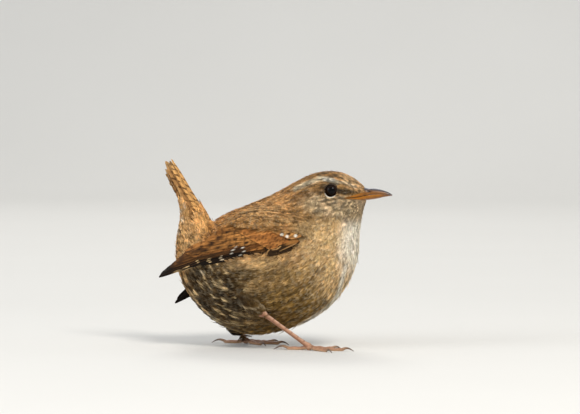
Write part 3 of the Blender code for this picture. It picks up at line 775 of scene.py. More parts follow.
def scatter(surface, spacing, mask, seed, crowd=3.0):
    """Roots spread so that none is nearer another than its spacing."""
    r = np.random.default_rng(seed)
    cell = surface.area * (surface.last / (surface.nu - 1)) * (TAU / surface.na)
    weight = cell / spacing ** 2 * mask
    total = weight.sum()
    n = int(total * crowd)
    cum = np.cumsum(weight.ravel())
    k = np.searchsorted(cum, r.random(n) * cum[-1])
    i, j = np.divmod(k, surface.na)
    u = np.clip((i + r.uniform(-0.5, 0.5, n)) / (surface.nu - 1) * surface.last, 0, surface.last)
    a = (j + r.uniform(-0.5, 0.5, n)) * TAU / surface.na
    p = surface.at(u, a, 0.0)
    rad = spacing[i, j]
    from mathutils.kdtree import KDTree
    tree = KDTree(n)
    for m in range(n):
        tree.insert(p[m], m)
    tree.balance()
    dead = bytearray(n)
    keep = []
    for m in range(n):
        if dead[m]:
            continue
        keep.append(m)
        for _, other, _ in tree.find_range(p[m], rad[m]):
            dead[other] = 1
    keep = np.array(keep, int)
    return u[keep], a[keep], rad[keep]


# ------------------------------------------------------------ coat of feathers
COAT_TRIS = 0


class Coat:
    """Feathers gathered together, dealt out over pieces that each span the whole body."""

    def __init__(self, name, slot, material, pieces):
        self.name, self.slot, self.material = name, slot, material
        self.builds = [Build() for _ in range(pieces)]
        self.warp = None

    def add(self, surface, templates, u, a, phi, length, half, paint, seed, **how):
        r = np.random.default_rng(seed)
        n = len(u)
        if not n:
            return
        which = r.integers(0, len(templates), n)
        share = r.integers(0, len(self.builds), n)
        for t, tpl in enumerate(templates):
            for b, build in enumerate(self.builds):
                pick = np.flatnonzero((which == t) & (share == b))
                if not len(pick):
                    continue
                opts = {k: (v[pick] if isinstance(v, np.ndarray) else v) for k, v in how.items()}
                pts, uu, aa = place(surface, tpl, u[pick], a[pick], phi[pick], length[pick], half[pick], **opts)
                col, fb = paint(pts, uu, aa, tpl, pick, r)
                if self.warp is not None:
                    pts = self.warp(pts)
                m, v = len(pick), len(tpl.s)
                chance = np.clip(tpl.chance[None, :] * 0.65 + r.random((m, 1)) * 0.35, 0, 1)
                fa = np.stack([np.broadcast_to(tpl.s, (m, v)), np.broadcast_to(tpl.w, (m, v)), chance], -1)
                tris = (tpl.tris[None] + (np.arange(m) * v)[:, None, None]).reshape(-1, 3)
                root = surface.unwrap(u[pick], a[pick])
                uv = root[:, None, :] + np.stack([tpl.w * 0.0014, (tpl.s - 0.5) * 0.0028], -1)[None]
                build.add(pts, tris=tris, attrs={"Col": np.concatenate([col, np.ones((m, v, 1))], -1).reshape(-1, 4),
                                                 "fa": fa.reshape(-1, 3), "fb": fb.reshape(-1, 3)}, uv=uv.reshape(-1, 2))

    def finish(self):
        global COAT_TRIS
        for k, build in enumerate(self.builds):
            if build.n:
                obj = build.make(f"{self.name}_{k + 1}", [self.material], self.slot)
                COAT_TRIS += PIECES[obj.name]
                print(obj.name, PIECES[obj.name])


def fleck(p, u):
    """How strongly single feathers differ from their neighbours: most on head, back and hind flanks."""
    px, py = drawing(p)
    f = np.clip((py - TOP_LINE(px)) / np.maximum(LOW_LINE(px) - TOP_LINE(px), 4.0), 0, 1)
    out = 0.36 + 0.22 * step(250, 280, py) + 0.30 * step(280, 300, py) + 0.40 * step(0.42, 0.22, f) + 0.50 * step(300, 322, px) * step(232, 214, py)
    out = out + 0.50 * oval(px, py, 205, 292, 40, 46, 0, 0.5)
    return out


def coat_paint(length, vary=0.10, dark_base=0.62, bars_per_mm=0.42):
    """Colours for feathers on the body: ground from plumage(), dusky at the root."""
    def paint(pts, uu, aa, tpl, pick, r):
        m, v = pts.shape[:2]
        col, bars, tip, _ = plumage(pts, uu)
        mid = np.argmin(np.abs(tpl.s - 0.8) + np.abs(tpl.w))
        one = col[:, mid:mid + 1]
        col = 0.7 * col + 0.3 * one
        n = noise(pts[:, mid], 0.75)[:, None] * 0.6 + noise(pts[:, mid] + 50, 0.4)[:, None] * 0.4
        amount = fleck(pts[:, mid], uu[:, mid])[:, None]
        g = lengthwise(pts, uu, 0.42)
        col = col * np.clip(1 + amount * (1.5 * (n - 0.5) + 2.3 * (g - 0.5)), 0.42, 1.7)[..., None]
        col = col * (1 + vary * r.normal(0, 1, (m, 1, 1))) * (1 + 0.012 * r.normal(0, 1, (m, 1, 3)))
        col = col * (1 - (1 - dark_base) * (1 - step(0.05, 0.55, tpl.s))[None, :, None])
        count = np.maximum(1.0, length[pick] * bars_per_mm)
        fb = np.stack([np.broadcast_to(bars[:, mid:mid + 1], (m, v)),
                       np.broadcast_to(count[:, None], (m, v)),
                       np.broadcast_to(tip[:, mid:mid + 1] * r.uniform(0.4, 1, (m, 1)), (m, v))], -1)
        return np.clip(col / np.maximum(1.0, col.max(-1, keepdims=True) / 0.95), 0, 1), fb
    return paint


DORSAL_L = [1.0, 1.3, 1.6, 2.1, 2.6, 3.1, 3.7, 4.4, 5.0, 5.4, 5.8, 6.0, 6.2, 6.2, 6.0, 5.8, 6.2, 7.2, 7.4, 6.0, 5.0, 4.0, 3.0]
VENTRAL_L = [1.1, 1.5, 2.0, 2.6, 3.2, 4.0, 4.9, 5.7, 6.4, 6.9, 7.2, 7.4, 7.6, 7.6, 7.4, 7.0, 6.8, 7.0, 7.2, 6.0, 5.0, 4.0, 3.0]
UA, AA = np.meshgrid(U_GRID, A_GRID, indexing="ij")
UNDER = (1 - np.cos(AA)) / 2                       # 0 on the back, 1 below
LENGTH = smooth(DORSAL_L, U_GRID)[:, None] * (1 - UNDER) + smooth(VENTRAL_L, U_GRID)[:, None] * UNDER
LENGTH = LENGTH * (0.30 + 0.70 * step(2.3, 7.0, _disc))
LENGTH = LENGTH * (0.70 + 0.30 * step(0.4, 2.5, UA))


def lie(u, a):
    """Turn of the feathers' lie away from the run of the body, parting round the eyes."""
    p = BODY.at(u, a)
    side = np.where(p[..., 1] < 0, -1.0, 1.0)
    d = p - EYE * np.stack([np.ones_like(side), -side, np.ones_like(side)], -1)
    near = np.exp(-(np.linalg.norm(d, axis=-1) / 3.4) ** 2)
    above = np.tanh(d[..., 2] / 1.6)
    ahead = step(-2.0, 1.5, d[..., 0])
    # on the right side +a runs towards the back, on the left towards the belly
    return 0.75 * near * above * ahead * np.where(side < 0, 1.0, -1.0)


head_mat = feather_material("head_plumage_coat", PAINT["dark"], PAINT["cream"], 10.0, spread=0.72)
body_mat = feather_material("body_plumage_coat", PAINT["dusk"] * 0.75, PAINT["cream"], 12.0, spread=0.75)
tail_mat = feather_material("tail_plumage_vanes", lin((70, 44, 24)), PAINT["buff"], 60.0, vane=0.45, duty=(0.25, 0.75))
wing_mat = feather_material("wing_plumage_vanes", lin((58, 36, 20)), PAINT["cream"], 60.0, vane=0.45, duty=(0.30, 0.78))

CUT = 7.0                                          # head and neck coat before, body coat after
eye_clear = _disc > 2.22
tail_end = np.where(UNDER < 0.45, 17.4, 19.7)
_gx, _gy = drawing(ENV)
gape = (_gx > 345.5) & (_gx < 372) & (_gy > np.interp(_gx, [345, 352, 360, 366], [197.0, 195.0, 193.2, 192.4])) \
    & (_gy < np.interp(_gx, [345, 355, 367], [198.6, 199.4, 199.8]))
MASK = (eye_clear & (UA < tail_end) & ~gape).astype(float) * (UA > 0.40)
HEAD_SPACING = LENGTH * 0.20
BODY_SPACING = LENGTH * 0.170

head_coat = Coat("coat_head", "head_plumage", head_mat, 4)
body_coat = Coat("coat_body", "body_plumage", body_mat, 5)


def grow(coat, mask, spacing, seed, templates, wide=0.32, vary=0.10, jitter=0.10, long=1.0, crowd=3.0, **how):
    u, a, rad = scatter(BODY, spacing, mask, seed, crowd)
    r = np.random.default_rng(seed + 1)
    cell = BODY.cell(u, a)
    L = BODY.look(LENGTH, u, a, cell) * r.uniform(0.88, 1.12, len(u)) * long
    phi = lie(u, a) + r.normal(0, jitter, len(u))
    # start the feather up-stream so that its tip falls on the sampled place
    back = BODY.steps(u, a, phi + math.pi)
    u2 = np.clip(u + back[0] * L * 0.5, 0.02, LAST)
    a2 = a + back[1] * L * 0.5
    if isinstance(how.get("lift"), float):
        how["lift"] = how["lift"] * r.uniform(0.2, 1.0, len(u))
    coat.add(BODY, templates, u2, a2, phi, L, L * wide, coat_paint(L, vary), seed + 2, **how)
    print("feathers", coat.name, len(u))


firm = (UNDER < 0.40).astype(float)
face = (UA < 3.6).astype(float)
grow(head_coat, MASK * (UA <= CUT) * (UA < 3.2), HEAD_SPACING * 0.95, 101, TINY, 0.30, lift=0.05, vary=0.12, jitter=0.20, long=1.25)
grow(head_coat, MASK * (UA <= CUT) * (UA >= 3.2), HEAD_SPACING, 111, LOOSE_SMALL, 0.25, lift=0.06, vary=0.12, jitter=0.20, long=1.3)
back_zone = MASK * (UA > CUT) * (UNDER < 0.36)
under_zone = MASK * (UA > CUT) * (UNDER >= 0.36)
grow(body_coat, back_zone, BODY_SPACING * 1.1, 121, FIRM, 0.30, lift=0.06, vary=0.10, jitter=0.14)
grow(body_coat, under_zone, BODY_SPACING, 131, LOOSE, 0.25, lift=0.08, vary=0.09, jitter=0.18, long=1.15)
grow(body_coat, MASK * (UA > CUT - 1), BODY_SPACING * 1.7, 141, HAIR, 0.26, lift=0.16, vary=0.16, jitter=0.25, long=1.15)
grow(head_coat, MASK * (UA <= CUT - 1) * (UA > 1.0), HEAD_SPACING * 2.0, 151, HAIR, 0.30, lift=0.08, vary=0.18, jitter=0.25)
# sparse fine barbs that stand off the outline
grow(body_coat, MASK * (UA > CUT) * (UNDER > 0.30) * (UA < 17.6), BODY_SPACING * 2.1, 161, WISP, 0.22, lift=1.15, vary=0.12, jitter=0.35, long=1.1)
grow(head_coat, MASK * (UA <= CUT) * (UA > 1.6), HEAD_SPACING * 2.3, 171, WISP, 0.30, lift=0.50, vary=0.14, jitter=0.32, long=1.15)
head_coat.finish()
body_coat.finish()


# --------------------------------------------------- flight and tail feathers
WING_LOWER = np.array([(314, 237.5), (306, 243.5), (296, 248.5), (281, 253.5), (262, 256.8), (240, 259),
                       (218, 262.6), (198, 266.6), (181, 269.8), (167, 274), (158.6, 278)], float)
WING_UPPER = np.array([(314, 233.5), (306, 228), (295, 223.5), (279, 219.5), (260, 217.5), (240, 219.5),
                       (220, 226.5), (202, 237), (187, 250.5), (172, 265), (158.9, 276.6)], float)
WING_OUT = [13.6, 15.3, 16.6, 17.7, 18.3, 18.2, 17.2, 15.2, 12.7, 10.0, 7.6]
DROOP, PIVOT = math.radians(10.5), (14.0, 33.0)


def wing_y(px, py):
    """How far out the folded wing's face stands, over a point of the drawing."""
    px, py = np.asarray(px, float), np.asarray(py, float)
    lx, ly = WING_LOWER[::-1, 0], WING_LOWER[::-1, 1]
    uy = np.interp(px, WING_UPPER[::-1, 0], WING_UPPER[::-1, 1])
    lo = np.interp(px, lx, ly)
    t = np.interp(px, lx, np.arange(len(lx))[::-1].astype(float))
    b = np.clip((lo - py) / np.maximum(lo - uy, 3.0), -0.25, 1.6)
    out = smooth(WING_OUT, t.ravel()).reshape(t.shape)
    bulge = np.clip(1 - (2 * b - 1) ** 2, -0.6, 1)
    tall = np.clip((lo - uy) / 20.0, 0.06, 1.0)
    y = out - 1.5 * (1 - bulge) * tall - 1.2 * b * np.minimum(1.0, t / 3) * tall
    for _ in range(2):
        p = grid(px, py, -y)
        body = reach(p[..., 0], p[..., 2]) + 0.35
        y = 0.5 * (y + body + np.sqrt((y - body) ** 2 + 0.5))
    return y


def to_left(points):
    """The same place on the left wing, which hangs lower."""
    p = np.array(points, float)
    px, py = drawing(p)
    up = np.interp(px, WING_UPPER[::-1, 0], WING_UPPER[::-1, 1])
    hang = np.clip((py - up) / np.maximum(np.interp(px, WING_LOWER[::-1, 0], WING_LOWER[::-1, 1]) - up, 4.0), 0, 1.2)
    p[..., 1] *= -1
    p[..., 1] += 1.2 * hang * np.clip((PIVOT[0] - p[..., 0]) / 6.0, 0, 1)     # it hangs a little off the flank
    a = DROOP * np.clip((PIVOT[0] - p[..., 0]) / 12.0, 0, 1)
    dx, dz = p[..., 0] - PIVOT[0], p[..., 2] - PIVOT[1]
    p[..., 0] = PIVOT[0] + dx * np.cos(a) - dz * np.sin(a)
    p[..., 2] = PIVOT[1] + dx * np.sin(a) + dz * np.cos(a)
    return p


class UVCards:
    """Hands out a rectangle of the unwrap to each large feather of a piece."""

    def __init__(self, columns, rows):
        self.c, self.r, self.k = columns, rows, 0

    def next(self, s, w):
        i, j = self.k % self.c, (self.k // self.c) % self.r
        self.k += 1
        x = (i + 0.5 + 0.46 * np.clip(w, -1, 1)) / self.c
        y = (j + 0.03 + 0.94 * np.clip(s, 0, 1)) / self.r
        return np.stack([x, y], -1)


def vane(line, outer, inner, r, rows=34, cols=(-1, -0.8, -0.6, -0.4, -0.22, -0.06, 0, 0.06, 0.22, 0.4, 0.6, 0.8, 1),
         tip=0.80, base=0.06, split=0.05, blunt=1.0, shaft=0.10):
    """A flight feather in the plane of the drawing: shaft points, widths of the outer (below) and inner vane.

    Returns drawing places, a height over the wing's face, s and w for each point, and the faces."""
    s = np.concatenate([np.linspace(0, tip, rows - 8), tip + (1 - tip) * np.sin(np.linspace(0, math.pi / 2, 9)[1:])])
    spine = smooth(line, s * (len(line) - 1))
    d = np.gradient(spine, axis=0)
    d /= np.linalg.norm(d, axis=1, keepdims=True)
    side = np.stack([-d[:, 1], d[:, 0]], -1)               # a quarter turn from the run
    side *= np.where(side[:, 1:2] > 0, 1, -1)               # towards the lower edge of the drawing
    cols = np.asarray(cols, float)
    end = np.where(s < tip, 1.0, np.sqrt(np.maximum(0.0, 1 - ((s - tip) / (1 - tip)) ** 2) ** blunt))
    start = step(0, base, s) * 0.75 + 0.25 * step(0, 0.35, s)
    wide = np.where(cols > 0, outer, inner)[None, :] * np.abs(cols)[None, :] * np.maximum(end * start, 0.02)[:, None]
    nick = np.ones((len(s), len(cols)))
    for edge in (0, -1):
        cuts = (r.random(len(s)) < 0.16) & (s > 0.2) & (s < 0.96)
        nick[cuts, edge] = 1 - split * r.uniform(0.4, 2.2, cuts.sum())
    off = np.sign(cols)[None, :] * wide * nick
    q = spine[:, None, :] + side[:, None, :] * off[..., None]
    # the barbs sweep forward, so the edge lies nearer the tip than the shaft
    lean = np.abs(off) * 0.30 * (1 - s ** 3)[:, None]
    q = q + d[:, None, :] * lean[..., None]
    h = shaft * np.exp(-(np.abs(cols) / 0.05) ** 2)[None, :] * (1 - 0.7 * s)[:, None] - 0.10 * (np.abs(cols) ** 2)[None, :]
    h = h + 0.02 * r.normal(0, 1, (1, len(cols)))
    ss = np.broadcast_to(s[:, None], q.shape[:2])
    ww = np.broadcast_to(cols[None, :], q.shape[:2])
    return q.reshape(-1, 2), h.ravel(), ss.ravel(), ww.ravel(), grid_faces(len(s), len(cols))


WR = np.random.default_rng(29)
WING_COATS = {side: [Build() for _ in range(3)] for side in ("right", "left")}
WING_CARDS = {side: [UVCards(8, 5) for _ in range(3)] for side in ("right", "left")}


def put_wing(piece, line, outer, inner, height, tilt, paint, bars, count, tip_pale, **how):
    """One feather on both wings, a little different on each; paint gives its ground colour from drawing places, s and w."""
    for side in ("right", "left"):
        jit = WR.normal(0, 0.35, (1, 2)) * (side == "left") + WR.normal(0, 0.10, (len(line), 2))
        q, h, s, w, faces = vane(np.asarray(line, float) + jit, outer, inner, WR, **how)
        y = wing_y(q[:, 0], q[:, 1])
        p = grid(q[:, 0], q[:, 1], -(y + height + tilt * w + h))
        if side == "left":
            p = to_left(p)
        base = paint(q, s, w)
        base = base * (1 + 0.06 * WR.normal()) * (1 + 0.012 * WR.normal(0, 1, 3))
        fa = np.stack([s, w, np.full(len(s), WR.random())], -1)
        strength = np.where(w > 0, bars[0], bars[1])
        fb = np.stack([strength, np.full(len(s), float(count)), np.full(len(s), float(tip_pale))], -1)
        uv = WING_CARDS[side][piece].next(s, w)
        WING_COATS[side][piece].add(p, quads=faces, attrs={"Col": np.concatenate([np.clip(base, 0, 1), np.ones((len(s), 1))], -1),
                                                           "fa": fa, "fb": fb}, uv=uv)


CHECKS = [(243.2, 247.2), (244.4, 250.8), (241.0, 254.4), (233.8, 249.4), (232.4, 252.9), (236.6, 246.4)]


def wing_streaks(px, py, col):
    """Darker and lighter lines that run along the wing."""
    g = noise(np.stack([px * 0.055, (py + 0.24 * px) * 0.27, 0 * px], -1), 0.45)
    col = mix(col, PAINT["dark"] * 1.2, (0.62 - 0.22 * step(238, 258, px)) * step(0.52, 0.72, g))
    return mix(col, PAINT["rufous"] * 1.15, 0.5 * step(0.44, 0.26, g))


def checks(px, py, col):
    """The small black and white pattern at the root of the primaries."""
    col = mix(col, PAINT["black"], 0.85 * oval(px, py, 238.2, 251.2, 9.5, 5.0, -16, 0.5))
    for k, (x, y) in enumerate(CHECKS):
        col = mix(col, PAINT["white"], (0.8 - 0.12 * (k % 3)) * oval(px, py, x, y, 1.7 + 0.4 * math.sin(k * 3.1), 0.62, -20, 0.6))
    return col


SPOTS = [(212, 243, 2.6, 1.5), (225, 241.4, 2.4, 1.4), (220, 236.8, 2.6, 1.3), (201, 247.7, 2.6, 1.4), (236, 238.2, 2.2, 1.2),
         (231, 245.6, 2.4, 1.2), (247, 242, 2.2, 1.2), (207, 250.6, 2.4, 1.3), (243, 232.6, 2.2, 1.2), (228, 232.0, 2.2, 1.2),
         (256, 236.5, 2.0, 1.1), (218, 247.4, 2.3, 1.2)]


def fade(c0, c1, lo=0.5, hi=1.0, edge=None):
    """Ground colour from root to tip, with another along the rim of the vane if given."""
    def paint(q, s, w):
        col = mix(np.broadcast_to(c0, (len(s), 3)), c1, step(lo, hi, s))
        col = col * (1.12 - 0.62 * np.clip(0.5 + 0.9 * np.sin(w * 13.0 + s * 4 + 2.0 * np.sin(s * 9)), 0, 1))[:, None]
        col = wing_streaks(q[:, 0], q[:, 1], col)
        for x, y, rx, ry in SPOTS:
            col = mix(col, PAINT["black"], 0.9 * oval(q[:, 0], q[:, 1], x, y, rx * 1.15, ry * 1.25, -22, 0.4))
        if edge is not None:
            col = mix(col, edge, 0.7 * step(0.72, 0.95, np.abs(w)) * step(0.1, 0.4, s))
        col = mix(col, PAINT["dark"] * 0.8, 0.92 * step(218, 190, q[:, 0]) * step(-3.0, 4.0, q[:, 1] - 262 + (q[:, 0] - 190) * 0.42))
        low = np.interp(q[:, 0], WING_LOWER[::-1, 0], WING_LOWER[::-1, 1])
        col = mix(col, PAINT["dark"] * 0.9, 0.72 * step(-14.0, -8.5, q[:, 1] - low) * step(250, 232, q[:, 0]))
        return checks(q[:, 0], q[:, 1], col)
    return paint


NOTCHES = np.array([252.5, 243, 233, 222.5, 210.5, 199, 188.5, 178.5])


def primary_paint(j):
    """Black-brown with a row of cream notches on the outer vane; the inner primaries are browner."""
    def paint(q, s, w):
        ground = mix(np.broadcast_to(PAINT["black"] * 0.95, (len(s), 3)), PAINT["chestnut"], max(0.0, (j - 3.5) / 6.0))
        ground = mix(ground, PAINT["black"], step(0.80, 0.97, s) * (1.0 if j < 5 else 0.45))
        gap = np.abs(q[:, :1] - (NOTCHES + 0.7 * math.sin(j * 2.4) - 0.25 * j)[None])
        k = np.argmin(gap, axis=1)
        near = gap[np.arange(len(k)), k]
        first, final = np.array([9, 9, 9, 1, 1, 0, 1, 1])[k], np.array([9, 9, 9, 5, 4, 4, 3, 3])[k]
        size = 1.35 + 0.45 * np.sin(j * 5.3 + k * 2.7)
        notch = (1 - step(-0.5, 0.5, near - size)) * step(0.25, 0.55, w) * (s < 0.93) * (j >= first) * (j <= final)
        pale = mix(np.broadcast_to(PAINT["white"], (len(s), 3)), PAINT["buff"], 0.25 + 0.75 * step(238.0, 205.0, q[:, 0]))
        inner = (1 - step(1.2, 2.4, near)) * (w < -0.2) * 0.45
        col = ground * (1 - notch[:, None]) + pale * notch[:, None]
        col = col * (1 - inner[:, None]) + PAINT["chestnut"] * inner[:, None]
        col = mix(col, PAINT["rufous"] * 0.8, (0.65 if j > 4 else 0.25) * step(0.7, 1.0, w) * (1 - step(0.9, 1.0, s)) * (1 - notch) * (j > 2))
        return checks(q[:, 0], q[:, 1], col)
    return paint


# Primaries: their outer vanes lie stacked along the lower edge of the wing.
PRIMARY_TIPS = [(174.0, 269.6), (165.0, 274.6), (158.9, 277.6), (160.5, 275.6), (165.0, 271.8),
                (170.5, 267.4), (176.0, 262.6), (181.5, 258.0), (187.0, 253.4)]
for j, end in enumerate(PRIMARY_TIPS):
    line = [(287 - 1.0 * j, 250.6 - 0.5 * j), (264, 255.0 - 1.15 * j), (240, 257.2 - 1.75 * j),
            (213, 261.8 - 2.0 * j), (0.5 * (213 + end[0]), 0.5 * (261.8 - 2.0 * j + end[1]) - 0.3), end]
    put_wing(0, line, 1.75, 7.4 - 0.25 * j, -1.45 + 0.085 * j, 0.10, primary_paint(j),
             (0.0, 0.25), 13, 0.0, tip=0.70 if j < 3 else 0.80, rows=100, split=0.03)
# Secondaries.
for j in range(6):
    line = [(270 - 0.8 * j, 246.0 - 2.1 * j), (250 - 0.8 * j, 248.6 - 1.9 * j), (228 - 1.5 * j, 251.6 - 1.7 * j),
            (197.5 - 2.4 * j, 258.4 - 1.1 * j)]
    put_wing(1, line, 2.1, 6.5, -0.62 + 0.085 * j, 0.10, fade(PAINT["chestnut"] * 1.2, PAINT["chestnut"] * 0.85, 0.5, 1.0, PAINT["rufous"] * 0.85),
             (0.75, 0.7), 8.5, 0.0, tip=0.84, rows=60)
# Tertials, broad and lying over all.
for j, (a, b, c, wide) in enumerate([((264, 238.5), (230, 243.0), (190.5, 252.2), 4.0), ((261, 235.0), (231, 238.4), (200.5, 246.0), 4.4),
                                     ((258, 231.5), (234, 233.6), (208.0, 239.8), 4.5), ((256, 228), (236, 228.8), (216.5, 232.8), 4.4)]):
    line = [a, (0.5 * (a[0] + b[0]), 0.5 * (a[1] + b[1]) + 0.2), b, c]
    put_wing(1, line, wide, wide, -0.05 + 0.15 * j, 0.06, fade(PAINT["rufous"] * 0.82, PAINT["chestnut"] * 1.15, 0.55, 1.0, PAINT["rufous"] * 0.95),
             (0.5, 0.5), 9.0, 0.0, tip=0.72, rows=60)


def covert_paint(ground, rim):
    """Browns of the coverts with the white, dark and buff marks that lie near the bend of the wing."""
    def paint(q, s, w):
        px, py = q[:, 0], q[:, 1]
        col = mix(np.broadcast_to(ground, (len(s), 3)), rim, 0.6 * step(0.5, 0.95, np.abs(w)) + 0.25 * step(0.7, 1, s))
        col = wing_streaks(px, py, col)
        for x, y in ((282.0, 234.1), (287.1, 235.9), (295.6, 235.3)):
            col = mix(col, PAINT["dark"], 0.85 * (1 - step(1.2, 2.6, np.hypot(px - x - 1.5, (py - y + 2.6) * 1.2))))
            col = mix(col, PAINT["white"], 1 - step(1.1, 1.9, np.hypot((px - x) * 0.9, py - y)))
        return col
    return paint


def alula_paint(q, s, w):
    px, py = q[:, 0], q[:, 1]
    col = np.broadcast_to(PAINT["dark"] * 1.2, (len(s), 3))
    col = mix(col, PAINT["rufous"], 0.75 * oval(px, py, 293, 241.0, 8, 2.2, -18, 0.5))
    loop = stroke(px, py, [(284, 240.5), (278, 241.5), (273.5, 245), (272.5, 249), (277, 248.5), (281, 245.5)], 0.55)
    loop = np.maximum(loop, stroke(px, py, [(270, 248.5), (267.5, 251.5), (266.5, 254.5)], 0.55))
    loop = np.maximum(loop, 0.8 * stroke(px, py, [(296, 243), (288, 246.5), (280, 250.5)], 0.45))
    return mix(col, lin((196, 150, 96)), 0.85 * loop)


# Primary coverts and the alula.
for j in range(5):
    line = [(293 - 1.2 * j, 247.6 - 1.3 * j), (281 - 1.0 * j, 250.6 - 1.5 * j), (267 - 0.6 * j, 254.6 - 1.9 * j)]
    put_wing(2, line, 2.2, 4.2, -0.45 + 0.07 * j, 0.09, alula_paint, (0.2, 0.2), 3.2, 0.0, tip=0.80, rows=34)
for j in range(3):
    line = [(300 - 1.5 * j, 240.8 - 0.8 * j), (288, 245.0 - 1.2 * j), (273 + 2.5 * j, 250.2 - 2.2 * j)]
    put_wing(2, line, 2.2, 3.4, 0.0 + 0.08 * j, 0.09, alula_paint, (0.15, 0.15), 3.0, 0.0, tip=0.78, rows=34)
# Greater coverts.
for j in range(9):
    t = j / 8
    root = (289 - 20 * t, 239.6 - 13.0 * t)
    end = (266.5 - 27.5 * t, 247.0 - 15.2 * t)
    mid = (0.5 * (root[0] + end[0]) + 0.3, 0.5 * (root[1] + end[1]) + 0.3)
    put_wing(2, [root, mid, end], 3.0, 3.3, 0.10 + 0.055 * j, 0.07, covert_paint(PAINT["chestnut"] * 1.8, PAINT["rufous"] * 1.28),
             (0.6, 0.6), 3.6, 0.0, tip=0.66, rows=28)
# Median coverts.
for row, (n, start, stop, length) in enumerate([(9, (302.0, 234.0), (274, 223.0), 16.0), (5, (301.5, 233.2), (288, 226.0), 11.0)]):
    for j in range(n):
        t = j / (n - 1)
        root = np.array([start[0] + (stop[0] - start[0]) * t, start[1] + (stop[1] - start[1]) * t])
        way = np.array([-0.985, 0.17 - 0.05 * t])
        end = root + way * length
        put_wing(2, [root, root + way * length * 0.5 + [0, 0.25], end], 2.6, 2.8, 0.55 + 0.12 * row + 0.04 * j, 0.06,
                 covert_paint(PAINT["back"] * 0.95, PAINT["rufous"] * 1.12), (0.35, 0.35), 2.4, 0.0, tip=0.60, rows=26, split=0.10)
for side in ("right", "left"):
    for k, name in enumerate(("primaries", "secondaries", "coverts")):
        WING_COATS[side][k].make(f"wing_{name}_{side}", [wing_mat], "wing_plumage")


# Scapulars and lesser coverts: soft feathers that close the shoulder over the wing.
def shoulder_y(px, py):
    upper = np.interp(px, WING_UPPER[::-1, 0], WING_UPPER[::-1, 1])
    above = np.maximum(step(0.0, 15.0, upper + 1.0 - py), step(296.0, 313.0, px))
    y = wing_y(px, np.maximum(py, upper - 4.0)) + 1.35
    p = grid(px, py, -y)
    return y * (1 - above) + (reach(p[..., 0], p[..., 2]) + 0.25) * above


SHU, SHA = np.linspace(0, 10, 260), np.arange(200) / 200
_sx = 324 - 11.6 * SHU[:, None] + 0 * SHA[None]
_su = np.interp(_sx, WING_UPPER[::-1, 0], WING_UPPER[::-1, 1]) - 20.0
_sl = np.interp(_sx, WING_LOWER[::-1, 0], WING_LOWER[::-1, 1]) + 12.0
_sy = _su + (_sl - _su) * SHA[None]
_sp = grid(_sx, _sy, -shoulder_y(_sx, _sy))
SHOULDER = Surface(_sp, 10.0, (0.72, 0.70, 0.98, 0.76), np.full(_sp.shape[:2], 0.75), ease=3)
if SHOULDER.N[:, 20:-20, 1].mean() > 0:
    SHOULDER.N = -SHOULDER.N
_edge = np.interp(_sx, [200, 225, 240, 262, 281, 300, 313, 330], [232, 223, 223.5, 227.5, 229.9, 231.8, 238.0, 240])
SH_MASK = ((_sy < _edge) & (_sx > 231) & (_sx < 315) & (_sy > _su + 7.0) & (_sy > TOP_LINE(_sx) + 6.0)).astype(float)
SH_LENGTH = np.broadcast_to(2.9 + 2.3 * step(300, 262, _sx), _sx.shape)


def shoulder_paint(length):
    inner = coat_paint(length, 0.16, bars_per_mm=0.55)

    def paint(pts, uu, aa, tpl, pick, r):
        col, fb = inner(pts, np.full(uu.shape, 9.0), aa, tpl, pick, r)
        px, py = drawing(pts)
        g = noise(np.stack([px * 0.07, py * 0.34, pts[..., 1] * 0.8], -1), 0.45)
        col = mix(col, PAINT["rufous"] * 0.82, 0.55 * step(220, 232, py) * step(296, 276, px))
        col = mix(col, PAINT["side"] * 1.05, 0.75 * step(286, 304, px) * step(218, 226, py))
        col = col * (1.0 - 0.22 * step(276, 250, px))[..., None]
        col = mix(col, PAINT["dusk"], 0.75 * step(0.54, 0.72, g) * (0.45 + 0.55 * step(304, 290, px)))
        col = mix(col, PAINT["buff"], 0.45 * step(0.42, 0.25, g))
        fb[..., 0] = np.maximum(fb[..., 0], 0.45)
        return col, fb
    return paint


for side in ("right", "left"):
    u, a, rad = scatter(SHOULDER, SH_LENGTH * 0.19, SH_MASK, 301 + len(side), 3.0)
    r = np.random.default_rng(305)
    L = SHOULDER.look(SH_LENGTH, u, a) * r.uniform(0.88, 1.12, len(u))
    phi = r.normal(0.0, 0.13, len(u))
    back = SHOULDER.steps(u, a, phi + math.pi)
    u2, a2 = np.clip(u + back[0] * L * 0.6, 0, 10), a + back[1] * L * 0.6
    cape = Coat("coat_shoulder_" + side, "wing_plumage", body_mat, 1)
    cape.warp = to_left if side == "left" else None
    cape.add(SHOULDER, FIRM, u2, a2, phi, L, L * 0.29, shoulder_paint(L), 307, lift=0.05, sink=0.9)
    cape.finish()


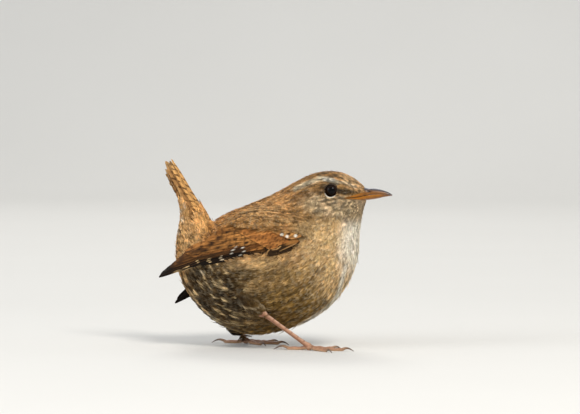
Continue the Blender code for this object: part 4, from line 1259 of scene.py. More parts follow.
# The tail: twelve feathers laid like a roof along the body's outline behind.
def tail_feather(build, cards, u0, u1, angle, swing, wide, sink, r, rows=46):
    """angle is the shaft's place round the tail, swing how it shifts towards the tip, wide in mm."""
    cols = np.array([-1, -0.72, -0.45, -0.2, -0.05, 0, 0.05, 0.2, 0.45, 0.72, 1])
    tip = 0.86
    s = np.concatenate([np.linspace(0, tip, rows - 8), tip + (1 - tip) * np.sin(np.linspace(0, math.pi / 2, 9)[1:])])
    u = u0 + (u1 - u0) * s
    a = angle + swing * s ** 1.3
    end = np.where(s < tip, 1.0, np.sqrt(np.maximum(0, 1 - ((s - tip) / (1 - tip)) ** 2)))
    wide = wide * (0.45 + 0.55 * step(0, 0.45, s)) * np.maximum(end, 0.03)
    su, sa, xu, xa = BODY.steps(u, a, np.zeros_like(u))
    nick = np.ones((len(s), len(cols)))
    for edge in (0, -1):
        cuts = (r.random(len(s)) < 0.15) & (s > 0.3)
        nick[cuts, edge] = 1 - 0.06 * r.uniform(0.4, 2.2, cuts.sum())
    off = cols[None, :] * wide[:, None] * nick
    lean = np.abs(off) * 0.45 * (1 - s ** 4)[:, None]
    uu = u[:, None] + xu[:, None] * off + su[:, None] * lean
    aa = a[:, None] + xa[:, None] * off
    h = -sink - 0.45 * (1 - s)[:, None] ** 2 * 1.2 + 0.12 * np.exp(-(cols / 0.05) ** 2)[None, :] * (1 - 0.7 * s)[:, None]
    h = h - 0.08 * np.abs(cols)[None, :] ** 2
    return BODY.at(uu, aa, h), s, cols, grid_faces(len(s), len(cols))


tail = Build()
cards = UVCards(6, 2)
TAIL_R = np.random.default_rng(41)
#       shaft angle, shift to the tip, length as a section, half width, sink
RECTRICES = [(0.14, -0.02, 22.02, 1.75, 0.05), (0.40, 0.16, 21.70, 1.7, 0.20), (0.70, 0.42, 21.97, 1.65, 0.34),
             (1.02, 0.50, 21.62, 1.6, 0.48), (1.34, 0.44, 21.30, 1.6, 0.60), (1.64, 0.36, 20.90, 1.6, 0.70)]
for sign in (-1, 1):
    for k, (angle, swing, last, wide, sink) in enumerate(RECTRICES):
        u0 = 17.2 + 0.1 * k
        jig = TAIL_R.normal(0, 0.02)
        p, s, cols, faces = tail_feather(tail, cards, u0, last + TAIL_R.normal(0, 0.03), sign * (angle + jig), sign * swing, wide,
                                         sink + (0.03 if sign > 0 else 0.0), TAIL_R)
        p[..., 0] -= (0.0, 0.1, 0.5, 1.0, 1.35, 1.2)[k] * s[:, None] ** 3.5
        p[..., 2] += (0.0, -0.2, 0.25, 0.1, -0.1, -0.2)[k] * s[:, None] ** 3.5
        ss = np.broadcast_to(s[:, None], p.shape[:2]).ravel()
        ww = np.broadcast_to(cols[None, :], p.shape[:2]).ravel()
        base = mix(np.broadcast_to(lin((238, 180, 108)), (len(ss), 3)), lin((206, 156, 100)), 0.18 * k * np.ones(len(ss)))
        base = mix(base, lin((146, 104, 62)), 0.75 * (k >= 2))
        base = mix(base, PAINT["dark"], 0.6 * step(0.30, 0.0, np.abs(ww)) * step(0.3, 0.7, ss) * (k >= 2))
        base = mix(base, PAINT["cream"], 0.55 * step(0.6, 1.0, np.abs(ww)) * step(0.15, 0.4, ss) * (k >= 3))
        base = base * (1 - 0.30 * np.clip(np.sin(ww * 8 + ss * 3 + k), 0, 1) ** 2)[:, None]
        base = base * (1 + 0.07 * TAIL_R.normal())
        fa = np.stack([ss, ww, np.full(len(ss), TAIL_R.random())], -1)
        fb = np.stack([np.full(len(ss), 0.8), np.full(len(ss), 11.0 - 0.3 * k), np.full(len(ss), 0.25)], -1)
        tail.add(p, quads=faces, attrs={"Col": np.concatenate([np.clip(base, 0, 1), np.ones((len(ss), 1))], -1), "fa": fa, "fb": fb},
                 uv=cards.next(ss, ww))
tail_piece = tail.make("tail_feathers", [tail_mat], "tail_plumage")


# ------------------------------------------------------------------ the skin
def tube_points(centres, radii, sides=32, squash=1.0):
    """Rings of a round tube along centres, side and up as the frame is carried along."""
    centres, radii = np.asarray(centres, float), np.asarray(radii, float)
    d = unit(np.gradient(centres, axis=0))
    side = np.cross(d[0], [0, 0, 1.0]) if abs(d[0][2]) < 0.9 else np.cross(d[0], [0, 1.0, 0])
    rings = []
    spin = TAU * np.arange(sides) / sides
    for k in range(len(centres)):
        side = unit(side - np.dot(side, d[k]) * d[k])
        up = np.cross(side, d[k])
        rings.append(centres[k] + radii[k] * (np.cos(spin)[:, None] * side + squash * np.sin(spin)[:, None] * up))
    return np.array(rings)


def closed(rings):
    """Points and quads of rings with both ends closed by a point."""
    n, m = rings.shape[:2]
    pts = np.concatenate([rings.reshape(-1, 3), [rings[0].mean(0)], [rings[-1].mean(0)]])
    quads = grid_faces(n, m, closed=True)
    k = np.arange(m)
    k2 = (k + 1) % m
    t1 = np.stack([np.full(m, n * m), k2, k], -1)
    t2 = np.stack([np.full(m, n * m + 1), (n - 1) * m + k, (n - 1) * m + k2], -1)
    return pts, quads, np.concatenate([t1, t2])


LEGS = {   # thigh top, heel, hub of the toes, cover of the shank, thigh radii, heading
    "right": ((244.0, 290.0, 10.6), (261.5, 311.0, 11.6), (309.0, 344.9, 9.6), 0.06, (4.6, 3.7, 1.8), -5.0),
    "left": ((224.0, 286.0, 6.6), (217.0, 297.0, 7.2), (245.5, 344.0, 10.4), 0.84, (4.8, 4.6, 3.4), 9.0),
}
SIDE = {"right": -1.0, "left": 1.0}
TOES = {"inner": (8.0, 3.4, 27.0), "middle": (11.2, 3.9, -2.0), "outer": (8.6, 3.4, -30.0), "hind": (7.2, 5.0, 176.0)}


def leg_points(side):
    sign = SIDE[side]
    top, heel, hub, cover, radii, heading = LEGS[side]
    top, heel, hub = (np.array([*grid(a, b, sign * c)]) for a, b, c in (top, heel, hub))
    hub[2] = 1.06
    hem = heel + (hub - heel) * cover
    mid = 0.5 * top + 0.5 * (0.4 * heel + 0.6 * hem) if cover > .2 else 0.5 * (top + heel)
    return top, heel, hub, hem, mid, radii, heading, cover


THIGHS = {}
for side in SIDE:
    top, heel, hub, hem, mid, radii, heading, cover = leg_points(side)
    t = np.linspace(-0.25, 2.0, 90)
    line = smooth([top, mid, hem], np.clip(t, 0, 2)) + np.minimum(t, 0)[:, None] * (mid - top)
    rad = smooth(radii, np.clip(t, 0, 2)) * np.where(t > 1.75, np.sqrt(np.clip(1 - ((t - 1.75) / 0.27) ** 2, 0.12, 1)), 1)
    P = tube_points(line, rad, 96)
    depth = np.broadcast_to((0.25 + 0.55 * smooth(radii, np.clip(t, 0, 2)) / 4.6)[:, None], P.shape[:2])
    rect = (0.72, 0.02, 0.98, 0.34) if side == "right" else (0.72, 0.36, 0.98, 0.68)
    THIGHS[side] = Surface(P, 2.25, rect, np.array(depth), ease=2)

shapes = []
body_skin = (ENV - BODY.N * np.minimum(DEPTH, 2.2)[..., None])[3:int(20.6 / LAST * NU):6, ::6]
shapes.append(closed(body_skin))
for side, S in THIGHS.items():
    shapes.append(closed((S.P - S.N * S.depth[..., None])[::4, ::4]))
# arm and hand under the wing's coverts
for side in SIDE:
    q = np.array([(311, 236), (303, 238.5), (292, 241.5), (280, 243), (268, 242), (256, 240), (246, 240)], float)
    rad = np.array([1.2, 1.7, 1.9, 1.8, 1.6, 1.3, 0.7])
    tt = np.linspace(0, 6, 30)
    qq = smooth(q, tt)
    c = grid(qq[:, 0], qq[:, 1], -(wing_y(qq[:, 0], qq[:, 1]) - 2.6))
    if side == "left":
        c = to_left(c)
    shapes.append(closed(tube_points(c, smooth(rad, tt), 20)))
pts, quads, tris, n = [], [], [], 0
for p, q, t in shapes:
    pts.append(p); quads.append(q + n); tris.append(t + n)
    n += len(p)
blob = bpy.data.meshes.new("flesh")
faces = [tuple(f) for f in np.concatenate(quads)] + [tuple(f) for f in np.concatenate(tris)]
blob.from_pydata((np.concatenate(pts)).tolist(), [], faces)      # in mm here, brought to metres below
flesh = bpy.data.objects.new("flesh", blob)
bpy.context.scene.collection.objects.link(flesh)
mod = flesh.modifiers.new("one skin", "REMESH")
mod.mode = "VOXEL"
mod.voxel_size = 0.42
mod.adaptivity = 0.0
even = flesh.modifiers.new("even", "SMOOTH")
even.factor, even.iterations = 0.5, 3
dg = bpy.context.evaluated_depsgraph_get()
done = flesh.evaluated_get(dg).to_mesh()
sv = np.zeros(len(done.vertices) * 3, np.float32)
done.vertices.foreach_get("co", sv)
sv = sv.reshape(-1, 3).astype(float)
sq = np.array([tuple(f.vertices) for f in done.polygons if len(f.vertices) == 4])
flesh.evaluated_get(dg).to_mesh_clear()
bpy.data.objects.remove(flesh, do_unlink=True)
# the sockets: the skin dips behind the lids so that the whole front of each ball is free
_d = np.hypot(sv[:, 0] - EYE[0], sv[:, 2] - EYE[2])
_cap = EYE_OUT + 0.9 + 12.0 * np.maximum(0.0, _d - 2.05)
sv[:, 1] = np.where(np.abs(sv[:, 1]) > 3.0, np.sign(sv[:, 1]) * np.minimum(np.abs(sv[:, 1]), _cap), sv[:, 1])
# place of each point on the unwrap, from the nearest place of the tables
from mathutils.kdtree import KDTree
probe = (ENV - BODY.N * DEPTH[..., None])[::7, ::6]
pu, pa = UA[::7, ::6], AA[::7, ::6]
near = KDTree(probe.size // 3)
for k, p in enumerate(probe.reshape(-1, 3)):
    near.insert(p, k)
near.balance()
hit = np.array([near.find(p)[1] for p in sv])
skin_u, skin_a = pu.ravel()[hit], pa.ravel()[hit]
skin_uv = BODY.unwrap(skin_u, skin_a)
skin_col, _, _, _ = plumage(sv, skin_u)
skin_col = skin_col * 0.60
# lids: rings of bare skin round the eyes, part of the skin
EYES = {"right": np.array([EYE[0], -EYE_OUT, EYE[2]]), "left": np.array([EYE[0], EYE_OUT, EYE[2]])}
LID = []
for side, sign in SIDE.items():
    spin = TAU * np.arange(72) / 72
    #         opening x, z, distance out from the ball's centre, and least distance over the skin below the eye
    rows = [(1.84, 1.92, 1.30, -1.0), (1.85, 1.95, 1.52, -0.55), (1.90, 1.99, 1.62, -0.02), (1.98, 2.07, 1.60, 0.14), (2.08, 2.17, 1.40, 0.18),
            (2.20, 2.29, 0.90, 0.12), (2.34, 2.43, 0.15, -0.10), (2.60, 2.70, -0.7, -0.7), (3.05, 3.15, -1.3, -1.2)]
    ring = []
    rows = smooth(np.array(rows), np.linspace(0, 8, 33))
    rise = np.interp(np.degrees(spin), np.arange(9) * 45.0, [1.35, 0.95, 0.85, 1.2, 1.9, 2.37, 2.40, 1.95, 1.35])
    rise = (np.roll(rise, 3) + rise + np.roll(rise, -3)) / 3
    for k, (rx, rz, out, over) in zip(np.linspace(0, 8, 33), rows):
        bead = 0.035 * np.sin(spin * 18 + k) * (1 <= k <= 4)
        corner = 0.10 * np.exp(-((np.abs(np.cos(spin)) - 1) / 0.05) ** 2) * (k < 5)
        x = EYES[side][0] + (rx + bead + corner) * np.cos(spin)
        z = EYES[side][2] + (rz + bead) * np.sin(spin)
        y = sign * (EYE_OUT + 0.5 * (out + rise + over + np.sqrt((out - rise - over) ** 2 + 0.01)))
        ring.append(np.stack([x, y, z], -1))
    LID.append((np.array(ring), grid_faces(len(rows), 72, closed=True)))
skin = Build()
side_of = np.concatenate([skin_col, np.ones((len(sv), 1))], -1)
skin.add(sv, quads=sq, attrs={"Col": side_of}, uv=skin_uv)
for ring, faces in LID:
    p = ring.reshape(-1, 3)
    shade = np.linspace(0, 1, ring.shape[0])
    c = mix(np.broadcast_to(PAINT["dark"], (ring.shape[0], 3)), PAINT["dark"] * 1.3, step(0.3, 0.75, shade))
    c = np.repeat(c, 72, 0)
    spin = TAU * np.arange(72) / 72
    low = step(-0.35, -0.95, np.sin(spin) + 0.15 * np.cos(spin))
    rim = (step(0.24, 0.30, shade) * step(0.74, 0.62, shade))[:, None] * low[None, :]
    c = mix(c, np.array([0.86, 0.79, 0.66]), 0.88 * rim.ravel())
    uv = np.stack([0.745 + 0.10 * (ring[..., 0] - EYE[0]) / 3.3 + (0.0 if ring[0, 0, 1] < 0 else 0.0),
                   0.83 + 0.10 * (ring[..., 2] - EYE[2]) / 3.3], -1).reshape(-1, 2)
    uv[:, 0] += 0.07 if ring[0, 0, 1] < 0 else 0.19
    skin.add(p, quads=faces, attrs={"Col": np.concatenate([c, np.ones((len(c), 1))], -1)}, uv=uv)
m = Nodes("skin", 0.62)
m.bsdf.inputs["Specular IOR Level"].default_value = 0.3
grain = m.noise(900.0, 3.0)
pores = m.noise(3500.0, 2.0)
tint = m.blend(m.attr("Col").outputs["Color"], PAINT["dusk"], m.ramp(grain, 0.45, 0.75, 0.0, 0.28))
m.colour(tint)
m.rough(m.ramp(pores, 0.3, 0.7, 0.5, 0.75))
m.bump(pores, 0.4, 0.00008)
skin_piece = skin.make("skin", [m.mat], "body_plumage")
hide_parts("head", "neck", "trunk", "tail", "wing_right", "wing_left", "thigh_right", "thigh_left")


# Feathers of the thighs, running down to the shank.
def thigh_paint(side, length):
    def paint(pts, uu, aa, tpl, pick, r):
        m, v = pts.shape[:2]
        n1 = lengthwise(pts, 10.0, 0.8)
        # painted shade: the far (left) thigh is darkened overall and gets more dusky streaks than the near one
        col = plumage(pts, np.full(pts.shape[:2], 10.0))[0] * (0.98 if side == "right" else 0.8)
        col = mix(col, PAINT["dusk"], step(0.45, 0.65, n1) * (0.3 if side == "right" else 0.6))
        # painted shadow on the far thigh: its lower part turns dusky and its inner side, towards the other leg, near
        # black
        if side == "left":
            inner = step(1.0, -1.2, pts[..., 1] - 8.6)
            col = mix(col, PAINT["dusk"] * 0.8, 0.6 * step(0.3, 0.9, uu))
            col = mix(col, PAINT["black"] * 0.6, 0.97 * step(0.3, 0.9, uu) * inner)
        col = mix(col, PAINT["cream"], 0.22 * step(0.40, 0.25, n1))
        col = col * (1 + 0.12 * r.normal(0, 1, (m, 1, 1))) * (0.6 + 0.4 * step(0.05, 0.6, tpl.s))[None, :, None]
        one = np.ones((m, v))
        return np.clip(col, 0, 1), np.stack([one * 0.25, one * 2.0, one * 0.03], -1)
    return paint


for side, S in THIGHS.items():
    spacing = np.full(S.P.shape[:2], 0.95)
    mask = np.ones(S.P.shape[:2])
    u, a, rad = scatter(S, spacing, mask, 201 + len(side), 3.0)
    r = np.random.default_rng(203)
    L = (3.4 + 1.2 * (u < 1.2) + (2.6 if side == "left" else 0.9) * step(1.3, 2.0, u)) * r.uniform(0.8, 1.2, len(u))
    phi = r.normal(0, 0.14, len(u))
    body_coat2 = Coat("coat_thigh_" + side, "body_plumage", body_mat, 1)
    body_coat2.add(S, LOOSE_SMALL, np.clip(u - 0.25, 0, 2.25), a, phi, L, L * 0.26, thigh_paint(side, L), 205, lift=0.15)
    keep = r.random(len(u)) < 0.5
    body_coat2.add(S, HAIR, u[keep], a[keep], phi[keep], L[keep] * 0.9, L[keep] * 0.24, thigh_paint(side, L[keep]), 207, lift=0.3)
    body_coat2.finish()


# -------------------------------------------------------- bill, eyes and legs
CULMEN = [(358.5, 187.2), (361, 187.4), (364, 187.9), (367.9, 188.5), (371, 188.5), (375, 188.9), (379, 189.7), (383, 190.8),
          (387, 192.2), (390.0, 193.8), (391.5, 194.9)]
CUTTING = [(358.5, 196.9), (361, 196.6), (364, 195.9), (367.9, 195.2), (371, 194.6), (375, 194.3), (379, 194.2), (383, 194.3),
           (387, 194.7), (390.0, 195.3), (391.5, 195.5)]
GONYS = [(358.5, 200.6), (361, 200.4), (364, 200.1), (367.9, 199.7), (371, 199.3), (375, 198.7), (379, 197.9), (383, 197.0),
         (387, 196.4), (389.6, 196.0), (390.9, 195.8)]
BILL_HALF = [1.85, 1.85, 1.8, 1.70, 1.53, 1.30, 1.08, 0.86, 0.62, 0.38, 0.14]
GAPE_UP = np.array([(343.0, 198.0), (346, 197.1), (350, 196.0), (355, 194.3), (360, 192.8), (364, 192.0), (368.5, 191.2)])
GAPE_CUT = np.array([(343.0, 198.3), (346, 198.2), (350, 198.0), (355, 197.6), (360, 196.8), (364, 195.9), (368.5, 195.0)])
GAPE_LOW = np.array([(343.0, 198.6), (346, 198.9), (350, 199.2), (355, 199.7), (360, 200.2), (364, 200.3), (368.5, 199.9)])


def horn_paint(p, upper):
    px, py = drawing(p)
    cut = np.interp(px, [q[0] for q in GAPE_CUT[:-1]] + [q[0] for q in CUTTING[3:]], [q[1] for q in GAPE_CUT[:-1]] + [q[1] for q in CUTTING[3:]])
    top = np.interp(px, [q[0] for q in CULMEN], [q[1] for q in CULMEN])
    dark, warm, orange = lin((66, 62, 66)), lin((124, 76, 16)), lin((160, 98, 8))
    n = noise(p, 0.7)
    if upper:
        v = (py - top) / np.maximum(cut - top, 0.8)
        col = mix(np.broadcast_to(dark, p.shape), warm, step(0.20, 0.52, v + 0.1 * (n - 0.5)))
        col = mix(col, orange, step(368, 352, px) * step(0.25, 0.5, v))
        # painted highlight: a pale bluish-grey streak along the top of the culmen
        col = mix(col, lin((128, 130, 140)), 0.6 * step(0.16, 0.04, v) * step(360, 364, px) * step(384, 376, px))
        col = mix(col, dark * 0.55, 0.8 * step(0.93, 0.99, v) * step(346, 352, px))
        col = mix(col, dark, 0.75 * step(382, 389, px))
    else:
        v = (py - cut) / 4.0
        col = mix(np.broadcast_to(orange, p.shape), lin((146, 90, 30)), step(0.45, 0.95, v))
        col = mix(col, lin((120, 76, 42)), step(376, 388, px))
        col = mix(col, dark * 0.55, 0.8 * step(0.07, 0.0, v) * step(346, 352, px))
    col = mix(col, PAINT["dusk"], 0.40 * step(354, 345, px))
    return np.clip(col * (0.93 + 0.14 * n)[..., None], 0, 1)


def bill_half(upper):
    build = Build()
    t = np.linspace(0, len(BILL_HALF) - 1, 90)
    a, b, g, w = smooth(CULMEN, t), smooth(CUTTING, t), smooth(GONYS, t), np.maximum(smooth(BILL_HALF, t), 0.05)
    near = grid(b[:, 0], b[:, 1])
    far = grid(a[:, 0], a[:, 1]) if upper else grid(g[:, 0], g[:, 1])
    sign = 1.0 if upper else -1.0
    near[:, 2] += sign * 0.035
    depth = np.maximum(np.abs(far[:, 2] - near[:, 2]), 0.10)
    ang = np.linspace(0, math.pi, 33)
    rise = np.sin(ang) ** (0.95 if upper else 0.75)
    ridge = 0.05 * np.exp(-((ang - math.pi / 2) / 0.16) ** 2)
    rings = np.zeros((len(t), 33 + 8, 3))
    rings[:, :33, 0] = near[:, 0:1] + (far[:, 0] - near[:, 0])[:, None] * rise[None] * 0.4
    rings[:, :33, 1] = -np.cos(ang)[None] * w[:, None] * (1 - 0.05 * np.sin(ang)[None] ** 3)
    rings[:, :33, 2] = near[:, 2:3] + sign * (rise + ridge)[None] * depth[:, None]
    # the mouth side is slightly hollow
    inner = np.linspace(1, -1, 10)[1:-1]
    rings[:, 33:, 0] = near[:, 0:1]
    rings[:, 33:, 1] = inner[None] * w[:, None] * 0.98
    rings[:, 33:, 2] = near[:, 2:3] + sign * 0.12 * (1 - inner[None] ** 2) * np.minimum(depth, 1)[:, None]
    if upper:                                            # nostril slits
        px, py = drawing(rings)
        slot = np.exp(-(((px - 368.2) / 2.3) ** 2 + ((py - 191.6 - (px - 368) * 0.10) / 0.75) ** 2)) * (np.abs(rings[..., 1]) > 0.5)
        rings[..., 1] -= np.sign(rings[..., 1]) * 0.32 * slot
    pts, quads, tris = closed(rings)
    col = horn_paint(pts, upper)
    if upper:
        px, py = drawing(pts)
        slot = np.exp(-(((px - 368.2) / 2.3) ** 2 + ((py - 191.6 - (px - 368) * 0.10) / 0.75) ** 2)) * (np.abs(pts[:, 1]) > 0.5)
        col = mix(col, lin((22, 16, 12)), np.clip(slot * 1.3, 0, 1))
    k = np.arange(len(pts))
    uv = np.stack([0.05 + 0.9 * np.clip(k // rings.shape[1], 0, 89) / 89, 0.02 + 0.45 * (k % rings.shape[1]) / rings.shape[1]], -1)
    build.add(pts, tris=tris, quads=quads, attrs={"Col": np.concatenate([col, np.ones((len(col), 1))], -1)}, uv=uv)
    # the corner of the mouth runs on over the face
    n, m = 40, 9
    s = np.linspace(0, 1, n)
    edge = smooth(GAPE_UP if upper else GAPE_LOW, s * 6)
    cut = smooth(GAPE_CUT, s * 6)
    v = np.linspace(0, 1, m)
    q = edge[:, None] * (1 - v)[None, :, None] + cut[:, None] * v[None, :, None]
    ua = on_body(q[..., 0].ravel(), q[..., 1].ravel()).reshape(n, m, 2)
    size = step(0, 0.35, s)[:, None]
    h = 0.02 + (-0.22 + 0.30 * np.sin(np.pi * np.clip(v, 0, 0.93) / 0.93)[None, :] ** 0.7) * (0.3 + 0.7 * size) - 0.12 * step(0.85, 1.0, s)[:, None]
    h = h - 0.35 * (v[None, :] < 0.01) - 0.30 * (v[None, :] > 0.99) * size
    p = BODY.at(ua[..., 0], ua[..., 1], h)
    for side in (1, -1):
        pp = p * np.array([1, side, 1])
        flat = pp.reshape(-1, 3)
        c = horn_paint(flat, upper)
        uv = np.stack([0.05 + 0.9 * np.broadcast_to(s[:, None], (n, m)), (0.55 if side > 0 else 0.78) + 0.18 * np.broadcast_to(v[None], (n, m))], -1)
        f = grid_faces(n, m)
        build.add(flat, quads=f, attrs={"Col": np.concatenate([c, np.ones((len(c), 1))], -1)}, uv=uv.reshape(-1, 2))
    m_ = Nodes("bill_horn" if upper else "bill_horn_pale", 0.34)
    m_.bsdf.inputs["Specular IOR Level"].default_value = 0.33
    m_.bsdf.inputs["Coat Weight"].default_value = 0.12
    m_.bsdf.inputs["Coat Roughness"].default_value = 0.25
    grain = m_.noise(1500.0, 3.0)
    streak = m_.noise(700.0, 2.0)
    m_.colour(m_.blend(m_.attr("Col").outputs["Color"], (0.03, 0.02, 0.015), m_.ramp(streak, 0.5, 0.8, 0.0, 0.28)))
    m_.rough(m_.ramp(grain, 0.3, 0.7, 0.26, 0.46))
    m_.bump(grain, 0.25, 0.00004)
    name = "bill_upper_horn" if upper else "bill_lower_horn"
    obj = build.make(name, [m_.mat], "bill_horn" if upper else "bill_horn_pale")
    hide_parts("bill_upper" if upper else "bill_lower")


bill_half(True)
bill_half(False)

eye_mat = Nodes("eye_gloss", 0.08)
eye_mat.bsdf.inputs["Specular IOR Level"].default_value = 0.11
iris = eye_mat.noise(1800.0, 3.0)
eye_mat.colour(eye_mat.blend(eye_mat.attr("Col").outputs["Color"], (0.002, 0.0015, 0.001), eye_mat.ramp(iris, 0.35, 0.7, 0.0, 0.6)))
eye_mat.rough(eye_mat.ramp(iris, 0.3, 0.7, 0.05, 0.12))
eye_mat.bump(iris, 0.03, 0.00002)
for side, sign in SIDE.items():
    rings_n, around = 48, 64
    th = np.linspace(0, math.pi, rings_n)
    ph = TAU * np.arange(around) / around
    bulge = 0.16 * np.exp(-(th / 0.62) ** 4)                     # the clear front of the eye
    r_ = EYE_RADIUS - 0.03 + bulge
    axis = unit(np.array([0.12, sign, 0.02]))
    e1 = unit(np.cross(axis, [0, 0, 1.0]))
    e2 = np.cross(e1, axis)
    p = (np.cos(th)[:, None, None] * axis + np.sin(th)[:, None, None] * (np.cos(ph)[None, :, None] * e1 + np.sin(ph)[None, :, None] * e2))
    p = EYES[side] + p * r_[:, None, None]
    col = mix(np.broadcast_to(lin((6, 5, 5)), (rings_n, 3)), lin((34, 20, 12)), np.exp(-((th - 0.62) / 0.16) ** 4))
    col = mix(col, lin((10, 8, 7)), step(0.80, 0.86, th))
    col = np.repeat(col, around, 0)
    uv = np.stack([0.5 + 0.48 * (th / math.pi)[:, None] * np.cos(ph)[None], 0.5 + 0.48 * (th / math.pi)[:, None] * np.sin(ph)[None]], -1)
    obj = make_mesh("eyeball_" + side, p.reshape(-1, 3), None, {"Col": np.concatenate([col, np.ones((len(col), 1))], -1)},
                    uv.reshape(-1, 2), [eye_mat.mat], grid_faces(rings_n, around, closed=True))
    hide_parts("eye_" + side)


# Shanks and toes with their scutes, and separate claws.
def limb(build, line, radius, front, scutes, ridge=0.05, keel=0.0, pads=0.0, sides=28, card=(0, 0, 1, 1), paint=None, flat=1.0, floor=None):
    """A scaly limb: rings along line, front is the side that the scutes lie on."""
    n = len(line)
    d = unit(np.gradient(line, axis=0))
    f = front - np.sum(front * d, -1, keepdims=True) * d
    f = unit(f)
    o = np.cross(d, f)
    ang = TAU * np.arange(sides) / sides
    s = np.linspace(0, 1, n)
    saw = (s * scutes) % 1.0
    lip = (saw ** 2.5) - 0.35 * np.exp(-(saw / 0.10) ** 2)
    c = np.cos(ang)[None, :]
    ahead = step(0.05, 0.45, c)
    rad = radius[:, None] * (1 + ridge * lip[:, None] * ahead * 2.0) * (1 + keel * np.clip(-c, 0, 1) ** 6)
    bulb = pads * (0.5 + 0.5 * np.cos(TAU * s * pads_n(pads)))[:, None] * np.clip(-c, 0, 1)
    rad = rad * (1 + bulb)
    side_ridge = 0.04 * np.exp(-((np.abs(ang - math.pi) - 1.75) / 0.10) ** 2)[None]
    rad = rad * (1 - side_ridge)
    p = line[:, None] + rad[..., None] * (c[..., None] * f[:, None] * flat + np.sin(ang)[None, :, None] * o[:, None])
    if floor is not None:
        p[..., 2] = np.maximum(p[..., 2], floor)
    pts, quads, tris = closed(p)
    edge = np.exp(-(np.minimum(saw, 1 - saw) / 0.09) ** 2)[:, None] * ahead
    col = paint(s[:, None] + 0 * ang[None], ang[None] + 0 * s[:, None], edge)
    ends = np.concatenate([col.reshape(-1, 3), col[0].mean(0)[None], col[-1].mean(0)[None]])
    x0, y0, x1, y1 = card
    uv = np.stack([x0 + (x1 - x0) * np.broadcast_to(ang[None] / TAU, (n, sides)), y0 + (y1 - y0) * np.broadcast_to(s[:, None], (n, sides))], -1).reshape(-1, 2)
    uv = np.concatenate([uv, [[x0, y0], [x1, y1]]])
    nz = noise(pts, 0.8)
    ends = ends * (0.88 + 0.24 * nz)[:, None]
    build.add(pts, tris=tris, quads=quads, attrs={"Col": np.concatenate([np.clip(ends, 0, 1), np.ones((len(ends), 1))], -1)}, uv=uv)


def pads_n(p):
    return 3.5


# the pale shin colour is a painted highlight for the front of the shanks
PINK, REDDISH, SHIN_HIGHLIGHT, HORNY = lin((186, 140, 110)), lin((134, 86, 60)), lin((220, 188, 164)), lin((98, 74, 58))


def leg_colour(s, ang, edge):
    c = np.cos(ang)
    col = mix(np.broadcast_to(PINK, s.shape + (3,)), REDDISH, 0.55 * step(0.3, -0.5, c) + 0.3 * np.abs(np.sin(ang)) ** 4)
    # painted highlight: the front-facing side of the shank is lightened towards the pale shin colour
    col = mix(col, SHIN_HIGHLIGHT, 0.45 * step(0.4, 1.0, c) * (1 - 0.5 * step(0.7, 1.0, s)))
    return mix(col, REDDISH * 0.8, 0.65 * edge)


def toe_colour(s, ang, edge):
    c = np.cos(ang)
    col = mix(np.broadcast_to(PINK * 0.92, s.shape + (3,)), lin((196, 158, 120)), step(0.1, -0.6, c))
    col = mix(col, REDDISH, 0.25 * step(0.0, 1.0, c))
    return mix(col, REDDISH * 0.75, 0.6 * edge)


leg_mat = Nodes("leg_scales", 0.5)
leg_mat.bsdf.inputs["Specular IOR Level"].default_value = 0.42
leg_mat.bsdf.inputs["Subsurface Weight"].default_value = 0.0
g1, g2 = leg_mat.noise(1400.0, 3.0), leg_mat.noise(4200.0, 2.0)
leg_mat.colour(leg_mat.blend(leg_mat.attr("Col").outputs["Color"], tuple(REDDISH * 0.7), leg_mat.ramp(g1, 0.48, 0.78, 0.0, 0.45)))
leg_mat.rough(leg_mat.ramp(g2, 0.3, 0.7, 0.40, 0.62))
leg_mat.bump(g2, 0.35, 0.00005)
claw_mat = Nodes("claw_horn", 0.3)
claw_mat.bsdf.inputs["Coat Weight"].default_value = 0.2
claw_mat.colour(claw_mat.blend(claw_mat.attr("Col").outputs["Color"], (0.05, 0.03, 0.02), claw_mat.ramp(claw_mat.noise(1600.0), 0.45, 0.75, 0.0, 0.4)))
claw_mat.rough(claw_mat.ramp(claw_mat.noise(2500.0), 0.3, 0.7, 0.22, 0.40))
claw_mat.bump(claw_mat.noise(3000.0), 0.2, 0.00003)

